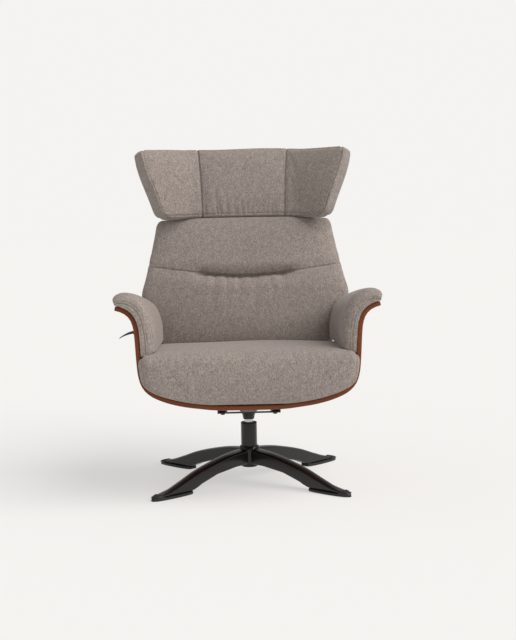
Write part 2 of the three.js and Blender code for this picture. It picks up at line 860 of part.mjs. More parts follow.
function padLines() {
  const tip = shellFloorHeight + shellRise;
  const onShell = offsetLine(shellInner, softGap);
  const bed = [
    new THREE.Vector2(halfWidthAt(onShell, padBottom), padBottom),
    ...onShell.filter(({ y }) => y > padBottom),
  ];
  const roll = new THREE.SplineCurve([
    new THREE.Vector2(shellHalf, lerp(bed.at(-1).y, tip + padTipRise, padTipShare)),
    new THREE.Vector2(shellHalf + padTipOverhang, tip + padTipRise),
    new THREE.Vector2(shellHalf - padCrestInset, tip + padCrestRise),
    new THREE.Vector2(shellHalf - padShoulderInset, tip + padShoulderRise),
    new THREE.Vector2(shellHalf - padInnerInset, tip - padInnerDrop),
    new THREE.Vector2(shellHalf - padFootInset, lerp(padBottom, tip - padInnerDrop, padFootShare)),
    new THREE.Vector2(shellHalf - padFootInset, padBottom),
  ]).getPoints(padRollSteps);
  return { bed, roll };
}

function makeArmPad(name, side) {
  const { bed, roll } = padLines();
  const bedLine = new THREE.SplineCurve([...bed].reverse());
  const roots = roll.map((_, i) => bedLine.getPointAt(i / (roll.length - 1)));
  const length = padRear - padFront;
  const stations = [
    ...padEndShares.map((share) => share * padNose),
    ...evenly(padNose, length - padTail, padMiddleCells).slice(1, -1),
    ...padEndShares.map((share) => length - share * padTail).reverse(),
  ];
  const rings = stations.map((distance) => {
    const nose = Math.max(0, 1 - distance / padNose);
    const tail = Math.max(0, 1 - (length - distance) / padTail);
    const front = lerp(padNoseShare, 1, Math.sqrt(1 - nose * nose));
    const rear = lerp(padTailShare, 1, Math.sqrt(1 - tail * tail));
    const crown = 1 + padCrownShare * Math.sin(Math.PI * distance / length);
    const free = roll.map((point, i) => roots[i].clone().lerp(point, front * rear * crown));
    return [...bed, ...free].map((point) => {
      const lean = padRearLean * (point.y - padBottom);
      const y = lerp(padFront, padRear + lean, distance / length);
      return new THREE.Vector3(side * point.x, y, lowered(y, point.y));
    });
  });
  add(turret, name, "fabric", loft(rings, ({ x, z }) => new THREE.Vector2(x, z)));
}

makeSwivel();
makeTray();
makeTrayBolts();
makeShell();
makeShellBolts();
makeRails();
makeDeck();
makeSeatCushion();
makeArmPad("arm_pad_left", -1);
makeArmPad("arm_pad_right", 1);

// Hinge brackets and pins on the rails
const hingeHeight = railBottom + hingeRise;
const bracketX = shellBoltX - railHalf - fit - bracketThickness;
const boardHalf = bracketX - fit - hingePlateThickness - boardInset;
const pocketHalf = bracketX - fit + pocketGap;
const skirtHalf = pocketHalf + skirtLap;
const backHalf = shellHalf - backInset;
const headTopHalf = shellHalf - headTopInset;
const headBottomHalf = shellHalf - headBottomInset;

function makeHingeBrackets() {
  const outline = new THREE.Shape();
  const foot = railBottom + bracketFootGap;
  const bracketFront = hingeY - bracketLug - bracketLength;
  outline.moveTo(bracketFront, foot);
  outline.lineTo(hingeY - bracketLug, foot);
  outline.lineTo(hingeY + bracketLug, hingeHeight);
  outline.absarc(hingeY, hingeHeight, bracketLug, 0, Math.PI);
  outline.lineTo(railRear + softGap, foot + bracketRise - softGap);
  outline.lineTo(bracketFront, foot + bracketRise - softGap);
  outline.closePath();
  const hole = rod(xAxis, hingePinRadius + fit, [bracketX - overrun, bracketX + bracketThickness + overrun])
    .translate(0, hingeY, hingeHeight);
  const body = cut(alongX(outline, [bracketX, bracketX + bracketThickness]), hole);
  const inside = bracketX - fit - hingePlateThickness;
  const pin = turned([
    [0, inside - fit - hingePinHead],
    [hingePinHeadRadius, inside - fit - hingePinHead],
    [hingePinHeadRadius, inside - fit],
    [hingePinRadius, inside - fit],
    [hingePinRadius, bracketX + bracketThickness + fit],
    [hingePinHeadRadius, bracketX + bracketThickness + fit],
    [hingePinHeadRadius, bracketX + bracketThickness + fit + hingePinHead],
    [0, bracketX + bracketThickness + fit + hingePinHead],
  ], pinSides).rotateY(Math.PI / 2).translate(0, hingeY, hingeHeight);
  for (const [side, name] of [[-1, "left"], [1, "right"]]) {
    const place = (geometry) => {
      if (side > 0) return geometry.clone();
      return facingOut(geometry.clone().scale(-1, 1, 1));
    };
    add(turret, `hinge_bracket_${name}`, "zinc", place(body));
    add(turret, `hinge_pin_${name}`, "steel", place(pin));
  }
}

// Back: everything from here is drawn from the hinge pin, upright, and then leaned back
const back = new THREE.Group();
back.position.set(0, hingeY, hingeHeight);
back.rotation.x = -degToRad(backTilt);
turret.add(back);

const backTop = backBottom + backHeight;
const boardBottom = backBottom + boardBottomGap;
const boardTop = backTop - boardTopGap;
const flangeBottom = boardBottom + flangeLap;
const guideHigh = boardTop - guideTopGap;
const guideLow = guideHigh - guideLength;
const postLow = guideLow - postFoot;
const headBottom = backTop - headLap;
const headTop = headBottom + headHeight;
const crossbarHeight = headBottom + crossbarRise;
const crossbarHalf = postX + crossbarEnd;
const coreLow = crossbarHeight + coreRise;
const coreHigh = coreLow + coreHeight;
const headPocketHalf = coreHalf + headPocketGap;

const backOutlineShares = [
  [0, 0.8], [0.24, 0.92], [0.34, 0.995], [0.38, 1], [0.41, 0.988], [0.443, 0.968], [0.485, 0.951],
  [0.527, 0.934], [0.652, 0.918], [0.8, 0.888], [0.891, 0.867], [1, 0.85],
];
const backDepthShares = [[0, 0.92], [0.2, 1], [0.45, 0.97], [0.62, 0.9], [1, 0.76]];

const backShareAt = (height) => (height - backBottom) / (backTop - backBottom);

// The back's top lies under the headrest: it falls a little to the front, and below the wings
function topDip(x, share, forward) {
  const wing = headWingDroop * -wingLine(x).y;
  return smoothstep(share, 0.72, 1) * (backDip + (backScoop + wing) * forward);
}

const backHalfAt = (height) => backHalf * inTable(backOutlineShares, backShareAt(height));

function makeBackCushion() {
  const middle = (backTop + backBottom) / 2;
  const half = new THREE.Vector3(backHalf, backDepth / 2, (backTop - backBottom) / 2);
  const seam = seamHeight - middle;
  const grid = [
    roundedStops(half.x, backRadius, 12),
    roundedStops(half.y, backRadius, 1),
    [
      -half.z,
      -half.z + backRadius * edgeShare,
      ...evenly(backRadius - half.z, seam - seamHalf * 2, 5),
      seam - seamHalf,
      seam,
      seam + seamHalf,
      ...evenly(seam + seamHalf * 2, half.z - backRadius, 4),
      half.z - backRadius * edgeShare,
      half.z,
    ],
  ];
  const body = padded(half, backRadius, grid, (point) => {
    const across = point.x / half.x;
    const forward = (1 - point.y / half.y) / 2;
    const nearSeam = Math.max(0, 1 - Math.abs(point.z - seam) / seamHalf);
    const pull = Math.max(0, 1 - Math.abs(point.z - seam) / seamPullHeight);
    point.z += middle;
    const share = backShareAt(point.z);
    point.x = across * backHalfAt(point.z);
    const depth = backDepth * inTable(backDepthShares, share) * (1 - 0.3 * Math.abs(across) ** 3);
    const groove = seamDepth * nearSeam * (1 - 0.6 * Math.abs(across) ** 2);
    point.y = boardFace - fit - forward * (depth - groove);
    point.z -= topDip(point.x, share, forward);
    point.z += pull * seamRise * Math.abs(across) ** 1.6;
  });
  const guideHalf = postRadius + guideWall + fit;
  const channels = [-1, 1].map((side) =>
    slab([side * postX - guideHalf, side * postX + guideHalf],
      [postFace - guideHalf, overrun], [postLow - softGap, backTop + overrun]));
  add(back, "back_cushion", "fabric", cut(body, ...channels));
}

// A cover with padded edges and a pocket that holds what lies behind the cushion
function makeRearCover() {
  const middle = (backTop + backBottom) / 2;
  const depth = coverRear - boardFace;
  const half = new THREE.Vector3(backHalf, depth / 2, (backTop - backBottom) / 2);
  const grid = [
    roundedStops(half.x, coverRadius, 6),
    roundedStops(half.y, coverRadius, 1),
    roundedStops(half.z, coverRadius, 8),
  ];
  const body = padded(half, coverRadius, grid, (point) => {
    const across = point.x / half.x;
    const rearward = (point.y / half.y + 1) / 2;
    point.z += middle;
    point.x = across * (backHalfAt(point.z) - coverSideGap);
    point.z -= smoothstep(backShareAt(point.z), 0.9, 1) * (coverTopDrop + coverRearDrop * rearward);
    point.y = boardFace + rearward * depth * (1 - 0.2 * Math.abs(across) ** 4);
  });
  const pocket = slab([-pocketHalf, pocketHalf], [boardFace - overrun, pocketRear], [0, boardTop + softGap]);
  const posts = [-1, 1].map((side) =>
    slab([side * postX - postRadius - softGap, side * postX + postRadius + softGap],
      [boardFace - overrun, postFace + postRadius + softGap], [boardTop, backTop + overrun]));
  const skirt = slab([-skirtHalf, skirtHalf],
    [skirtFace, skirtFace + skirtThickness], [-skirtDrop, backBottom + skirtTopLap]);
  const crankWay = slab([-crankGap - crankCheek, crankGap + crankCheek],
    [0, coverRear + overrun], [-skirtDrop - overrun, backBottom + crankWayLap]);
  add(back, "rear_cover", "fabric", cut(join(cut(body, pocket, ...posts), skirt), crankWay));
}

function makeBackBoard() {
  add(back, "back_board", "timber",
    slab([-boardHalf, boardHalf], [boardFace, boardFace + boardThickness], [boardBottom, boardTop]));
}

// Hinge plates: a web beside the board with a flange behind it and a lug round the pin
function makeHingePlates() {
  const webInner = bracketX - fit - hingePlateThickness;
  const flangeFront = boardFace + boardThickness + fit;
  const flangeRear = flangeFront + hingeFlange;
  const outline = new THREE.Shape();
  outline.absarc(0, 0, hingePlateLug, Math.PI, 0);
  outline.lineTo(flangeRear, boardBottom);
  outline.lineTo(flangeRear, hingePlateTop);
  outline.lineTo(boardFace + fit, hingePlateTop);
  outline.lineTo(boardFace + fit, boardBottom - softGap);
  outline.closePath();
  const web = alongX(outline, [webInner, webInner + hingePlateThickness]);
  const flange = slab([webInner - hingeFlangeWidth, webInner + softGap], [flangeFront, flangeRear],
    [flangeBottom, hingePlateTop]);
  const hole = rod(xAxis, hingePinRadius + fit,
    [webInner - overrun, webInner + hingePlateThickness + overrun]);
  const body = cut(join(web, flange), hole);
  add(back, "hinge_plate_right", "zinc", body);
  add(back, "hinge_plate_left", "zinc", facingOut(body.clone().scale(-1, 1, 1)));
}

// Crank: two cheeks that hang from the board and push the gas spring's rod
const crankAngle = degToRad(crankLead + backTilt);
const crankPinY = crankRadius * Math.sin(crankAngle);
const crankPinZ = -crankRadius * Math.cos(crankAngle);

function makeCrank() {
  const flangeFront = boardFace + boardThickness + fit;
  const flangeRear = flangeFront + hingeFlange;
  const outline = new THREE.Shape();
  outline.moveTo(flangeFront, crankFlangeTop);
  outline.lineTo(flangeFront, backBottom);
  outline.lineTo(crankPinY - crankLug, crankPinZ);
  outline.absarc(crankPinY, crankPinZ, crankLug, Math.PI, 0);
  outline.lineTo(flangeRear, boardBottom);
  outline.lineTo(flangeRear, crankFlangeTop);
  outline.closePath();
  const cheeks = [-1, 1].map((side) =>
    alongX(outline, inOrder(side * crankGap, side * (crankGap - crankCheek))));
  const flange = slab([-crankGap, crankGap], [flangeFront, flangeRear], [flangeBottom, crankFlangeTop]);
  const pin = rod(xAxis, crankPinRadius, [-crankGap - softGap, crankGap + softGap])
    .translate(0, crankPinY, crankPinZ);
  add(back, "crank", "zinc", join(flange, ...cheeks, pin));
}

makeHingeBrackets();
makeBackBoard();
makeBackCushion();
makeRearCover();
makeHingePlates();
makeCrank();

// Gas spring: it lies on the shell's floor, and its rod's eye holds the crank's pin
const gasHeight = hingeHeight - crankRadius * (1 + Math.cos(degToRad(crankLead))) / 2;
const gasEyeY = hingeY + crankRadius * Math.sin(degToRad(crankLead));
const gasHole = crankPinRadius + gasEyePlay;

function makeGasSpring() {
  const gasBodyRear = hingeY - gasBodyRearGap;
  const front = gasBodyRear - gasBodyLength;
  const bore = gasRodRadius + fit;
  const rodRear = gasEyeY - (gasHole + gasEyeRadius) / 2;
  const boreFront = Math.max(rodRear - gasRodInside - gasStroke, front + gasBodyRadius);
  const body = turned([
    [0, front - gasStudLength],
    [gasStudRadius, front - gasStudLength],
    [gasStudRadius, front],
    [gasBodyRadius, front],
    [gasBodyRadius, gasBodyRear],
    [bore, gasBodyRear],
    [bore, boreFront],
    [0, boreFront],
  ]).rotateX(-Math.PI / 2).translate(0, 0, gasHeight);
  add(turret, "gas_spring_cylinder", "blackMetal", body);
  const floor = shellFloorHeight + shellThickness + fit;
  const rear = front - fit;
  const block = slab([-gasBracketWidth / 2, gasBracketWidth / 2], [rear - gasBracketLength, rear],
    [floor, floor + gasBracketHeight]);
  const socket = rod(yAxis, gasStudRadius + fit, [rear - gasBracketLength - overrun, rear + overrun])
    .translate(0, 0, gasHeight);
  add(turret, "gas_spring_bracket", "zinc", cut(block, socket));
  const shaft = rod(yAxis, gasRodRadius, [rodRear - gasRodInside, rodRear]).translate(0, 0, gasHeight);
  const eye = tube(gasHole, gasEyeRadius, [-gasEyeWidth / 2, gasEyeWidth / 2], pinSides)
    .rotateY(Math.PI / 2).translate(0, gasEyeY, gasHeight);
  add(turret, "gas_spring_rod", "steel", join(eye, shaft));
}

// Headrest slide: guides on the board, and two posts joined by a crossbar
function makeHeadrestSlide() {
  for (const [side, name] of [[-1, "left"], [1, "right"]]) {
    add(back, `headrest_guide_${name}`, "blackPlastic",
      tube(postRadius + fit, postRadius + guideWall, [guideLow, guideHigh], pinSides)
        .translate(side * postX, postFace, 0));
    const post = rod(zAxis, postRadius, [postLow, crossbarHeight + postRadius])
      .translate(side * postX, postFace, 0);
    const across = [-crossbarHalf - overrun, crossbarHalf + overrun];
    const eye = rod(xAxis, crossbarRadius + fit, across, boltSides)
      .translate(0, postFace, crossbarHeight);
    add(back, `headrest_post_${name}`, "steel", cut(post, eye));
  }
  add(back, "headrest_crossbar", "steel", rod(xAxis, crossbarRadius, [-crossbarHalf, crossbarHalf], boltSides)
    .translate(0, postFace, crossbarHeight));
}

function makeHeadrestCore() {
  const depth = [headRearFace + fit, headRearFace + fit + coreThickness];
  const plate = slab([-coreHalf, coreHalf], depth, [coreLow, coreHigh]);
  const parts = [-1, 1].flatMap((side) => {
    const edges = inOrder(side * lugX, side * (lugX + lugWidth));
    return [
      rod(xAxis, lugRadius, edges).translate(0, postFace, crossbarHeight),
      slab(edges, depth, [crossbarHeight, coreLow + softGap]),
    ];
  });
  const hole = rod(xAxis, crossbarRadius + fit, [-coreHalf, coreHalf], boltSides)
    .translate(0, postFace, crossbarHeight);
  add(back, "headrest_core", "timber", cut(join(plate, ...parts), hole));
}

// The headrest's middle line in plan: straight behind the head, then bent forward into each wing
function wingLine(distance) {
  const reach = Math.abs(distance);
  const side = Math.sign(distance);
  const angle = degToRad(headWingAngle);
  const radius = headBendLength / angle;
  const turnedBy = clamp((reach - headCentreHalf) / radius, 0, angle);
  const straight = Math.max(0, reach - headCentreHalf - headBendLength);
  const x = Math.min(reach, headCentreHalf) + radius * Math.sin(turnedBy) + straight * Math.cos(angle);
  const y = -radius * (1 - Math.cos(turnedBy)) - straight * Math.sin(angle);
  return { x: side * x, y, heading: side * turnedBy };
}

function wingLength(halfWidth) {
  const angle = degToRad(headWingAngle);
  const bend = headBendLength / angle * Math.sin(angle);
  return headCentreHalf + headBendLength + (halfWidth - headCentreHalf - bend) / Math.cos(angle);
}

function makeHeadrestCushion() {
  const middle = (headTop + headBottom) / 2;
  const longest = wingLength(headTopHalf);
  const shortest = wingLength(headBottomHalf);
  const half = new THREE.Vector3(longest, headWingDepth / 2, (headTop - headBottom) / 2);
  const wing = [
    headSeamHalf + headSeamWidth,
    ...evenly(headSeamHalf + headSeamWidth * 2, longest - headRadius, 5),
    longest - headRadius * edgeShare,
    longest,
  ];
  const columns = [
    ...wing.map((x) => -x).reverse(),
    -headSeamHalf,
    ...evenly(headSeamWidth - headSeamHalf, headSeamHalf - headSeamWidth, 4),
    headSeamHalf,
    ...wing,
  ];
  const grid = [columns, roundedStops(half.y, headRadius, 1), roundedStops(half.z, headRadius, 6)];
  const body = padded(half, headRadius, grid, (point) => {
    const up = (point.z / half.z + 1) / 2;
    const forward = (1 - point.y / half.y) / 2;
    const seam = Math.max(0, 1 - Math.abs(Math.abs(point.x) - headSeamHalf) / headSeamWidth);
    const inCentre = Math.abs(point.x) < headSeamHalf;
    const beyond = clamp((Math.abs(point.x) - headSeamHalf) / (longest - headSeamHalf), 0, 1);
    const low = clamp(1 - (point.z + half.z) / headFootCurve, 0, 1);
    const rounded = headFootRound * (1 - Math.sqrt(1 - low * low));
    const length = lerp(shortest, longest, smoothstep(up, -0.2, 1)) - rounded;
    const seamHalfHere = lerp(headSeamFootHalf, headSeamHalf, up);
    const distance = inCentre
      ? point.x * seamHalfHere / headSeamHalf
      : Math.sign(point.x) * lerp(seamHalfHere, length, beyond);
    const crown = inCentre ? headCentreDepth : headWingDepth;
    const depth = crown * (0.86 + 0.14 * Math.sin(Math.PI * up)) - seam * headSeamDepth;
    const line = wingLine(distance);
    point.x = line.x - forward * depth * Math.sin(line.heading);
    point.y = headRearFace + line.y - forward * depth * Math.cos(line.heading);
    point.z += headWingDroop * line.y;
    point.z += middle;
  });
  const reliefs = [-1, 1].map((side) =>
    slab([side * postX - postRelief, side * postX + postRelief],
      [headRearFace - postReliefDepth, headRearFace + overrun], [headBottom - overrun, crossbarHeight]));
  add(back, "headrest_cushion", "fabric", cut(body, ...reliefs));
}

function makeHeadrestPad() {
  const low = headBottom + headPadInset;
  const high = headTop - headPadInset;
  const front = headRearFace + fit;
  const middle = (high + low) / 2;
  const depth = headPadRear - front;
  const half = new THREE.Vector3(headPocketHalf + headPadMargin, depth / 2, (high - low) / 2);
  const grid = [
    roundedStops(half.x, headPadRadius, 5),
    roundedStops(half.y, headPadRadius, 1),
    roundedStops(half.z, headPadRadius, 4),
  ];
  const body = padded(half, headPadRadius, grid, (point) => {
    const across = point.x / half.x;
    const rearward = (point.y / half.y + 1) / 2;
    point.z += middle;
    point.y = front + rearward * depth * (1 - 0.18 * Math.abs(across) ** 4);
  });
  const pocket = slab([-headPocketHalf, headPocketHalf], [front - overrun, headPocketRear],
    [low - overrun, coreHigh + headPocketTopGap]);
  add(back, "headrest_rear_pad", "fabric", cut(body, pocket));
}

// Release lever: a plate with two ears on the shell's left side, and a blade that hangs from its pin
function makeLever() {
  const side = new THREE.Group();
  const leverHeight = shellFloorHeight + leverRise;
  const halfHeight = leverPlateHeight / 2;
  const [low, high] = [-halfHeight, halfHeight].map((rise) =>
    halfWidthAt(shellOuter, raised(leverY, leverHeight + rise)));
  side.position.set(-(low + high) / 2, leverY, leverHeight);
  side.rotation.y = -Math.atan2(high - low, leverPlateHeight);
  turret.add(side);
  const halfLength = leverPlateLength / 2;
  const plate = slab([-leverPlateGap - leverPlateSheet, -leverPlateGap],
    [-halfLength, halfLength], [-halfHeight, halfHeight]);
  const pinX = -leverPlateGap - leverPlateSheet - leverStandoff;
  const ears = [-1, 1].flatMap((end) => {
    const edges = inOrder(end * halfLength, end * (halfLength - leverEar));
    return [
      slab([pinX, -leverPlateGap - softGap], edges, [-leverBarrel, leverBarrel]),
      rod(yAxis, leverBarrel, edges).translate(pinX, 0, 0),
    ];
  });
  const hole = rod(yAxis, leverPinRadius + fit, [-halfLength - overrun, halfLength + overrun], boltSides)
    .translate(pinX, 0, 0);
  add(side, "lever_housing", "blackPlastic", cut(join(plate, ...ears), hole));
  add(side, "lever_pin", "steel",
    rod(yAxis, leverPinRadius, [-halfLength, halfLength], boltSides).translate(pinX, 0, 0));
  const inner = halfLength - leverEar - fit * 2;
  const bladeRoot = leverBladeSheet / 2;
  const outline = new THREE.Shape();
  outline.moveTo(pinX, bladeRoot);
  outline.quadraticCurveTo(
    pinX - leverBladeReach * 0.55, bladeRoot, pinX - leverBladeReach, bladeRoot - leverBladeDrop);
  outline.lineTo(pinX - leverBladeReach + bladeRoot, -bladeRoot / 2 - leverBladeDrop);
  outline.quadraticCurveTo(pinX - leverBladeReach * 0.52, -bladeRoot, pinX, -bladeRoot);
  outline.closePath();
  const blade = alongY(outline, [-inner, inner]);
  const barrel = rod(yAxis, leverBarrel - softGap, [-inner, inner]).translate(pinX, 0, 0);
  add(side, "release_lever", "blackPlastic", cut(join(barrel, blade), hole));
}

makeGasSpring();
makeHeadrestSlide();
makeHeadrestCore();
makeHeadrestCushion();
makeHeadrestPad();
makeLever();

export default chair;
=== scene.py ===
"""Dresses the star base swivel recliner: upholstery, bent walnut shell, swivel base and studio."""
import json
import math
import bmesh
import bpy
import numpy as np
from bpy.props import FloatProperty, FloatVectorProperty, PointerProperty
from mathutils import Matrix, Vector
from mathutils.bvhtree import BVHTree


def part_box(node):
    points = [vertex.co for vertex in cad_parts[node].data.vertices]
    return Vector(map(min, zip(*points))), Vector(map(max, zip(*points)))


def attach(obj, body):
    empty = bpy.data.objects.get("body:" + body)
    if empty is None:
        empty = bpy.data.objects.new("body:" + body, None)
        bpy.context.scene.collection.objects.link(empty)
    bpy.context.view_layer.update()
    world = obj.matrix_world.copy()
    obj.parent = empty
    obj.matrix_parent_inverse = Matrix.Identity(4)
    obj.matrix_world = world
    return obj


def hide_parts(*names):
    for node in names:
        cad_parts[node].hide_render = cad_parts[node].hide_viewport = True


bl_info = {
    "name": "Star base swivel recliner",
    "version": (1, 0, 0),
    "blender": (4, 5, 0),
    "location": "View3D > Sidebar > Recliner",
    "description": "Upholstery, bent walnut shell, star base and studio of a swivel recliner",
    "category": "Object",
}

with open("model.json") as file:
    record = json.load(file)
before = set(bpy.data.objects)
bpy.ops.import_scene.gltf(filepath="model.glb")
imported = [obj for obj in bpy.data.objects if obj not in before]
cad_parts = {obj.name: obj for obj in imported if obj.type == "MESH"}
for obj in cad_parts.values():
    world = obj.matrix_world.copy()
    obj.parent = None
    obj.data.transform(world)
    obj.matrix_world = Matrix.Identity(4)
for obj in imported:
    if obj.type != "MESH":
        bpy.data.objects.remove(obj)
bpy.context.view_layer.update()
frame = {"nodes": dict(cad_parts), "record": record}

# Sizes are millimetres from the swivel column on the floor, and become metres when a mesh is made.
MM = 0.001
FIT = 0.3
SOFT_GAP = 1.0
COLUMN_SETBACK = 32.7
HINGE_Y = 235.0
HINGE_Z = 365.0
BACK_TILT = math.radians(14)
SHELL_HALF = 384.0
SHELL_FLOOR = 270.0
SHELL_RISE = 295.0
SHELL_BEND = 102.0
SHELL_PLY = 14.0
SHELL_FRONT = -335.0
SHELL_SIDE_REAR = 150.0
ARM_DROP = 38.0
BOARD_FACE = -4.0
BACK_LOW = 24.0
BACK_HIGH = 455.0
BACK_HALF = 340.0
BACK_DEPTH = 100.0


# Places
def in_chair(points):
    """Points drawn from the swivel column, in the frame of the whole chair."""
    return np.asarray(points, float) - (0, COLUMN_SETBACK, 0)


def in_back(points):
    """Points drawn upright from the recline hinge, leaned back into the chair."""
    x, y, z = np.asarray(points, float).T
    c, s = math.cos(BACK_TILT), math.sin(BACK_TILT)
    return in_chair(np.stack([x, HINGE_Y + y * c + z * s, HINGE_Z - y * s + z * c], axis=1))


def smoothstep(value, low, high):
    t = np.clip((np.asarray(value, float) - low) / (high - low), 0, 1)
    return t * t * (3 - 2 * t)


def smooth_table(pairs, places):
    """A smooth curve through (place, value) pairs, read at the given places."""
    x, y = np.array(pairs, float).T
    slope = np.gradient(y, x)
    places = np.clip(places, x[0], x[-1])
    i = np.clip(np.searchsorted(x, places, side="right") - 1, 0, len(x) - 2)
    h = x[i + 1] - x[i]
    t = (places - x[i]) / h
    near = (2 * t**3 - 3 * t**2 + 1) * y[i] + (t**3 - 2 * t**2 + t) * h * slope[i]
    return near + (3 * t**2 - 2 * t**3) * y[i + 1] + (t**3 - t**2) * h * slope[i + 1]


def through(points, per_span=8):
    """A smooth line through points in two or three axes."""
    p = np.array(points, float)
    p = np.vstack([p[:1], p, p[-1:]])
    line = []
    for i in range(1, len(p) - 2):
        t = np.linspace(0, 1, per_span, endpoint=False)[:, None]
        v0, v1 = (p[i + 1] - p[i - 1]) / 2, (p[i + 2] - p[i]) / 2
        line.append((2 * p[i] - 2 * p[i + 1] + v0 + v1) * t**3
                    + (-3 * p[i] + 3 * p[i + 1] - 2 * v0 - v1) * t**2 + v0 * t + p[i])
    return np.vstack(line + [p[-1:]])


def lengths(line):
    """How far along a line each of its points lies."""
    return np.concatenate([[0], np.cumsum(np.linalg.norm(np.diff(line, axis=0), axis=1))])


def read_along(line, along, places):
    """A line's columns at places given in the measure of its points' own places."""
    return np.stack([np.interp(places, along, column) for column in line.T], axis=1)


def at_share(line, share):
    """Points at shares of a line's length."""
    along = lengths(line)
    return read_along(line, along, share * along[-1])


def offset_line(line, distance):
    """A flat line moved sideways, to the left of its direction."""
    along = np.gradient(line, axis=0)
    along /= np.linalg.norm(along, axis=1, keepdims=True)
    return line + distance * np.stack([-along[:, 1], along[:, 0]], axis=1)


# Meshes
TURNED_SIDES = 96


def added(name, data):
    """A new object, linked to the scene."""
    piece = bpy.data.objects.new(name, data)
    bpy.context.scene.collection.objects.link(piece)
    return piece


def new_mesh(name, points, faces, uvs=None, form=None, smooth=True):
    """An object from points in millimetres, with an optional UV for each face corner."""
    mesh = bpy.data.meshes.new(name)
    mesh.from_pydata((np.asarray(points, float) * MM).tolist(), [], [list(map(int, f)) for f in faces])
    if uvs is not None:
        mesh.uv_layers.new(name="grain").data.foreach_set("uv", np.asarray(uvs, float).ravel())
    if form is not None:
        mesh.attributes.new("form", "FLOAT_VECTOR", "POINT").data.foreach_set("vector", form.ravel())
    mesh.polygons.foreach_set("use_smooth", [smooth] * len(mesh.polygons))
    mesh.update()
    return added(name, mesh)


def faced_out(piece):
    """Merges doubles and turns every face outwards."""
    b = bmesh.new()
    b.from_mesh(piece.data)
    bmesh.ops.remove_doubles(b, verts=b.verts, dist=1e-6)
    bmesh.ops.recalc_face_normals(b, faces=b.faces)
    b.to_mesh(piece.data)
    b.free()
    return piece


def creased(piece, degrees):
    """Keeps edges crisp where faces meet at more than the given angle."""
    piece.data.set_sharp_from_angle(angle=math.radians(degrees))
    return piece


def evaluated(piece):
    """Replaces a piece's mesh by the mesh that its modifiers make, and removes them."""
    graph = bpy.context.evaluated_depsgraph_get()
    mesh = bpy.data.meshes.new_from_object(piece.evaluated_get(graph))
    piece.modifiers.clear()
    old = piece.data
    mesh.name = old.name
    piece.data = mesh
    bpy.data.meshes.remove(old)
    return piece


def grid_box(xs, ys, zs):
    """Points and quads of a closed box whose faces carry grid lines at the given places."""
    stops = [np.asarray(s, float) for s in (xs, ys, zs)]
    index, points, quads = {}, [], []

    def corner(key):
        if key not in index:
            index[key] = len(points)
            points.append([stops[a][key[a]] for a in range(3)])
        return index[key]

    for axis in range(3):
        u, v = (axis + 1) % 3, (axis + 2) % 3
        for end in (0, len(stops[axis]) - 1):
            for i in range(len(stops[u]) - 1):
                for j in range(len(stops[v]) - 1):
                    ring = []
                    for di, dj in ((0, 0), (1, 0), (1, 1), (0, 1)):
                        key = [0, 0, 0]
                        key[axis], key[u], key[v] = end, i + di, j + dj
                        ring.append(corner(tuple(key)))
                    quads.append(ring if end else ring[::-1])
    return np.array(points), quads


def rounded_stops(half, radius, pitch, arcs=4, extra=()):
    """Places for grid lines: even over the flat, closer round the edges, with extra ones at seams."""
    flat = half - radius
    cells = max(2, int(round(2 * flat / pitch)))
    places = [v for v in np.linspace(-flat, flat, cells + 1)
              if all(abs(v - e) > pitch * 0.3 for e in extra)]
    arc = [flat + radius * math.tan(math.radians(45 * k / arcs)) for k in range(1, arcs + 1)]
    return [-v for v in reversed(arc)] + sorted([*places, *extra]) + arc


def rounded_box(half, radius, stops):
    """A box with rounded edges: its points and quads, before any form is given to it."""
    points, quads = grid_box(*stops)
    radius = np.broadcast_to(np.asarray(radius, float), 3)
    inner = np.asarray(half, float) - radius
    core = np.clip(points, -inner, inner)
    out = (points - core) / radius
    out /= np.linalg.norm(out, axis=1, keepdims=True)
    return core + out * radius, quads


def gridded_box(half, radius, pitches):
    """A box with rounded edges and a pitch of grid lines for each axis."""
    return rounded_box(half, radius, [rounded_stops(h, radius, pitch, 3) for h, pitch in zip(half, pitches)])


def loft(rings, wrapped=False):
    """Points and faces of sections joined in order, with the ends closed or joined to each other."""
    count, total = len(rings[0]), len(rings) * len(rings[0])
    faces = []
    for i in range(len(rings) - (0 if wrapped else 1)):
        for j in range(count):
            a, b = i * count + j, i * count + (j + 1) % count
            faces.append((a, b, (b + count) % total, (a + count) % total))
    if not wrapped:
        faces += [tuple(range(count))[::-1], tuple(range(total - count, total))]
    return np.vstack(rings), faces


def filleted(corners, steps=5):
    """A flat outline whose corners (a, b, radius) are rounded."""
    line = []
    count = len(corners)
    for i, (a, b, radius) in enumerate(corners):
        here = np.array([a, b], float)
        before = np.array(corners[i - 1][:2], float) - here
        after = np.array(corners[(i + 1) % count][:2], float) - here
        if radius <= 0:
            line.append(here)
            continue
        u, v = before / np.linalg.norm(before), after / np.linalg.norm(after)
        bend = math.acos(float(np.clip(u @ v, -1, 1)))
        nearest = min(np.linalg.norm(before), np.linalg.norm(after))
        reach = min(radius / math.tan(bend / 2), 0.48 * nearest)
        start, end = here + u * reach, here + v * reach
        for t in np.linspace(0, 1, steps):
            line.append((1 - t) ** 2 * start + 2 * t * (1 - t) * here + t * t * end)
    return np.array(line)


def solid(name, points, faces, degrees=45):
    """A closed piece with its faces outwards, crisp where they meet at more than the given angle."""
    return creased(faced_out(new_mesh(name, points, faces)), degrees)


def around(r, z, sides):
    """Rings or lines of points at one radius and height after another, turned about an upright axis."""
    angles = np.linspace(0, 2 * math.pi, sides, endpoint=False)
    return [np.stack([r * math.cos(a), r * math.sin(a), z], axis=1) for a in angles]


def bar_rings(corners, sides, steps):
    """Rings of a bar along Z, from an outline whose first and last corners lie on its axis."""
    return np.stack(around(*filleted(corners, steps)[1:-1].T, sides), axis=1)


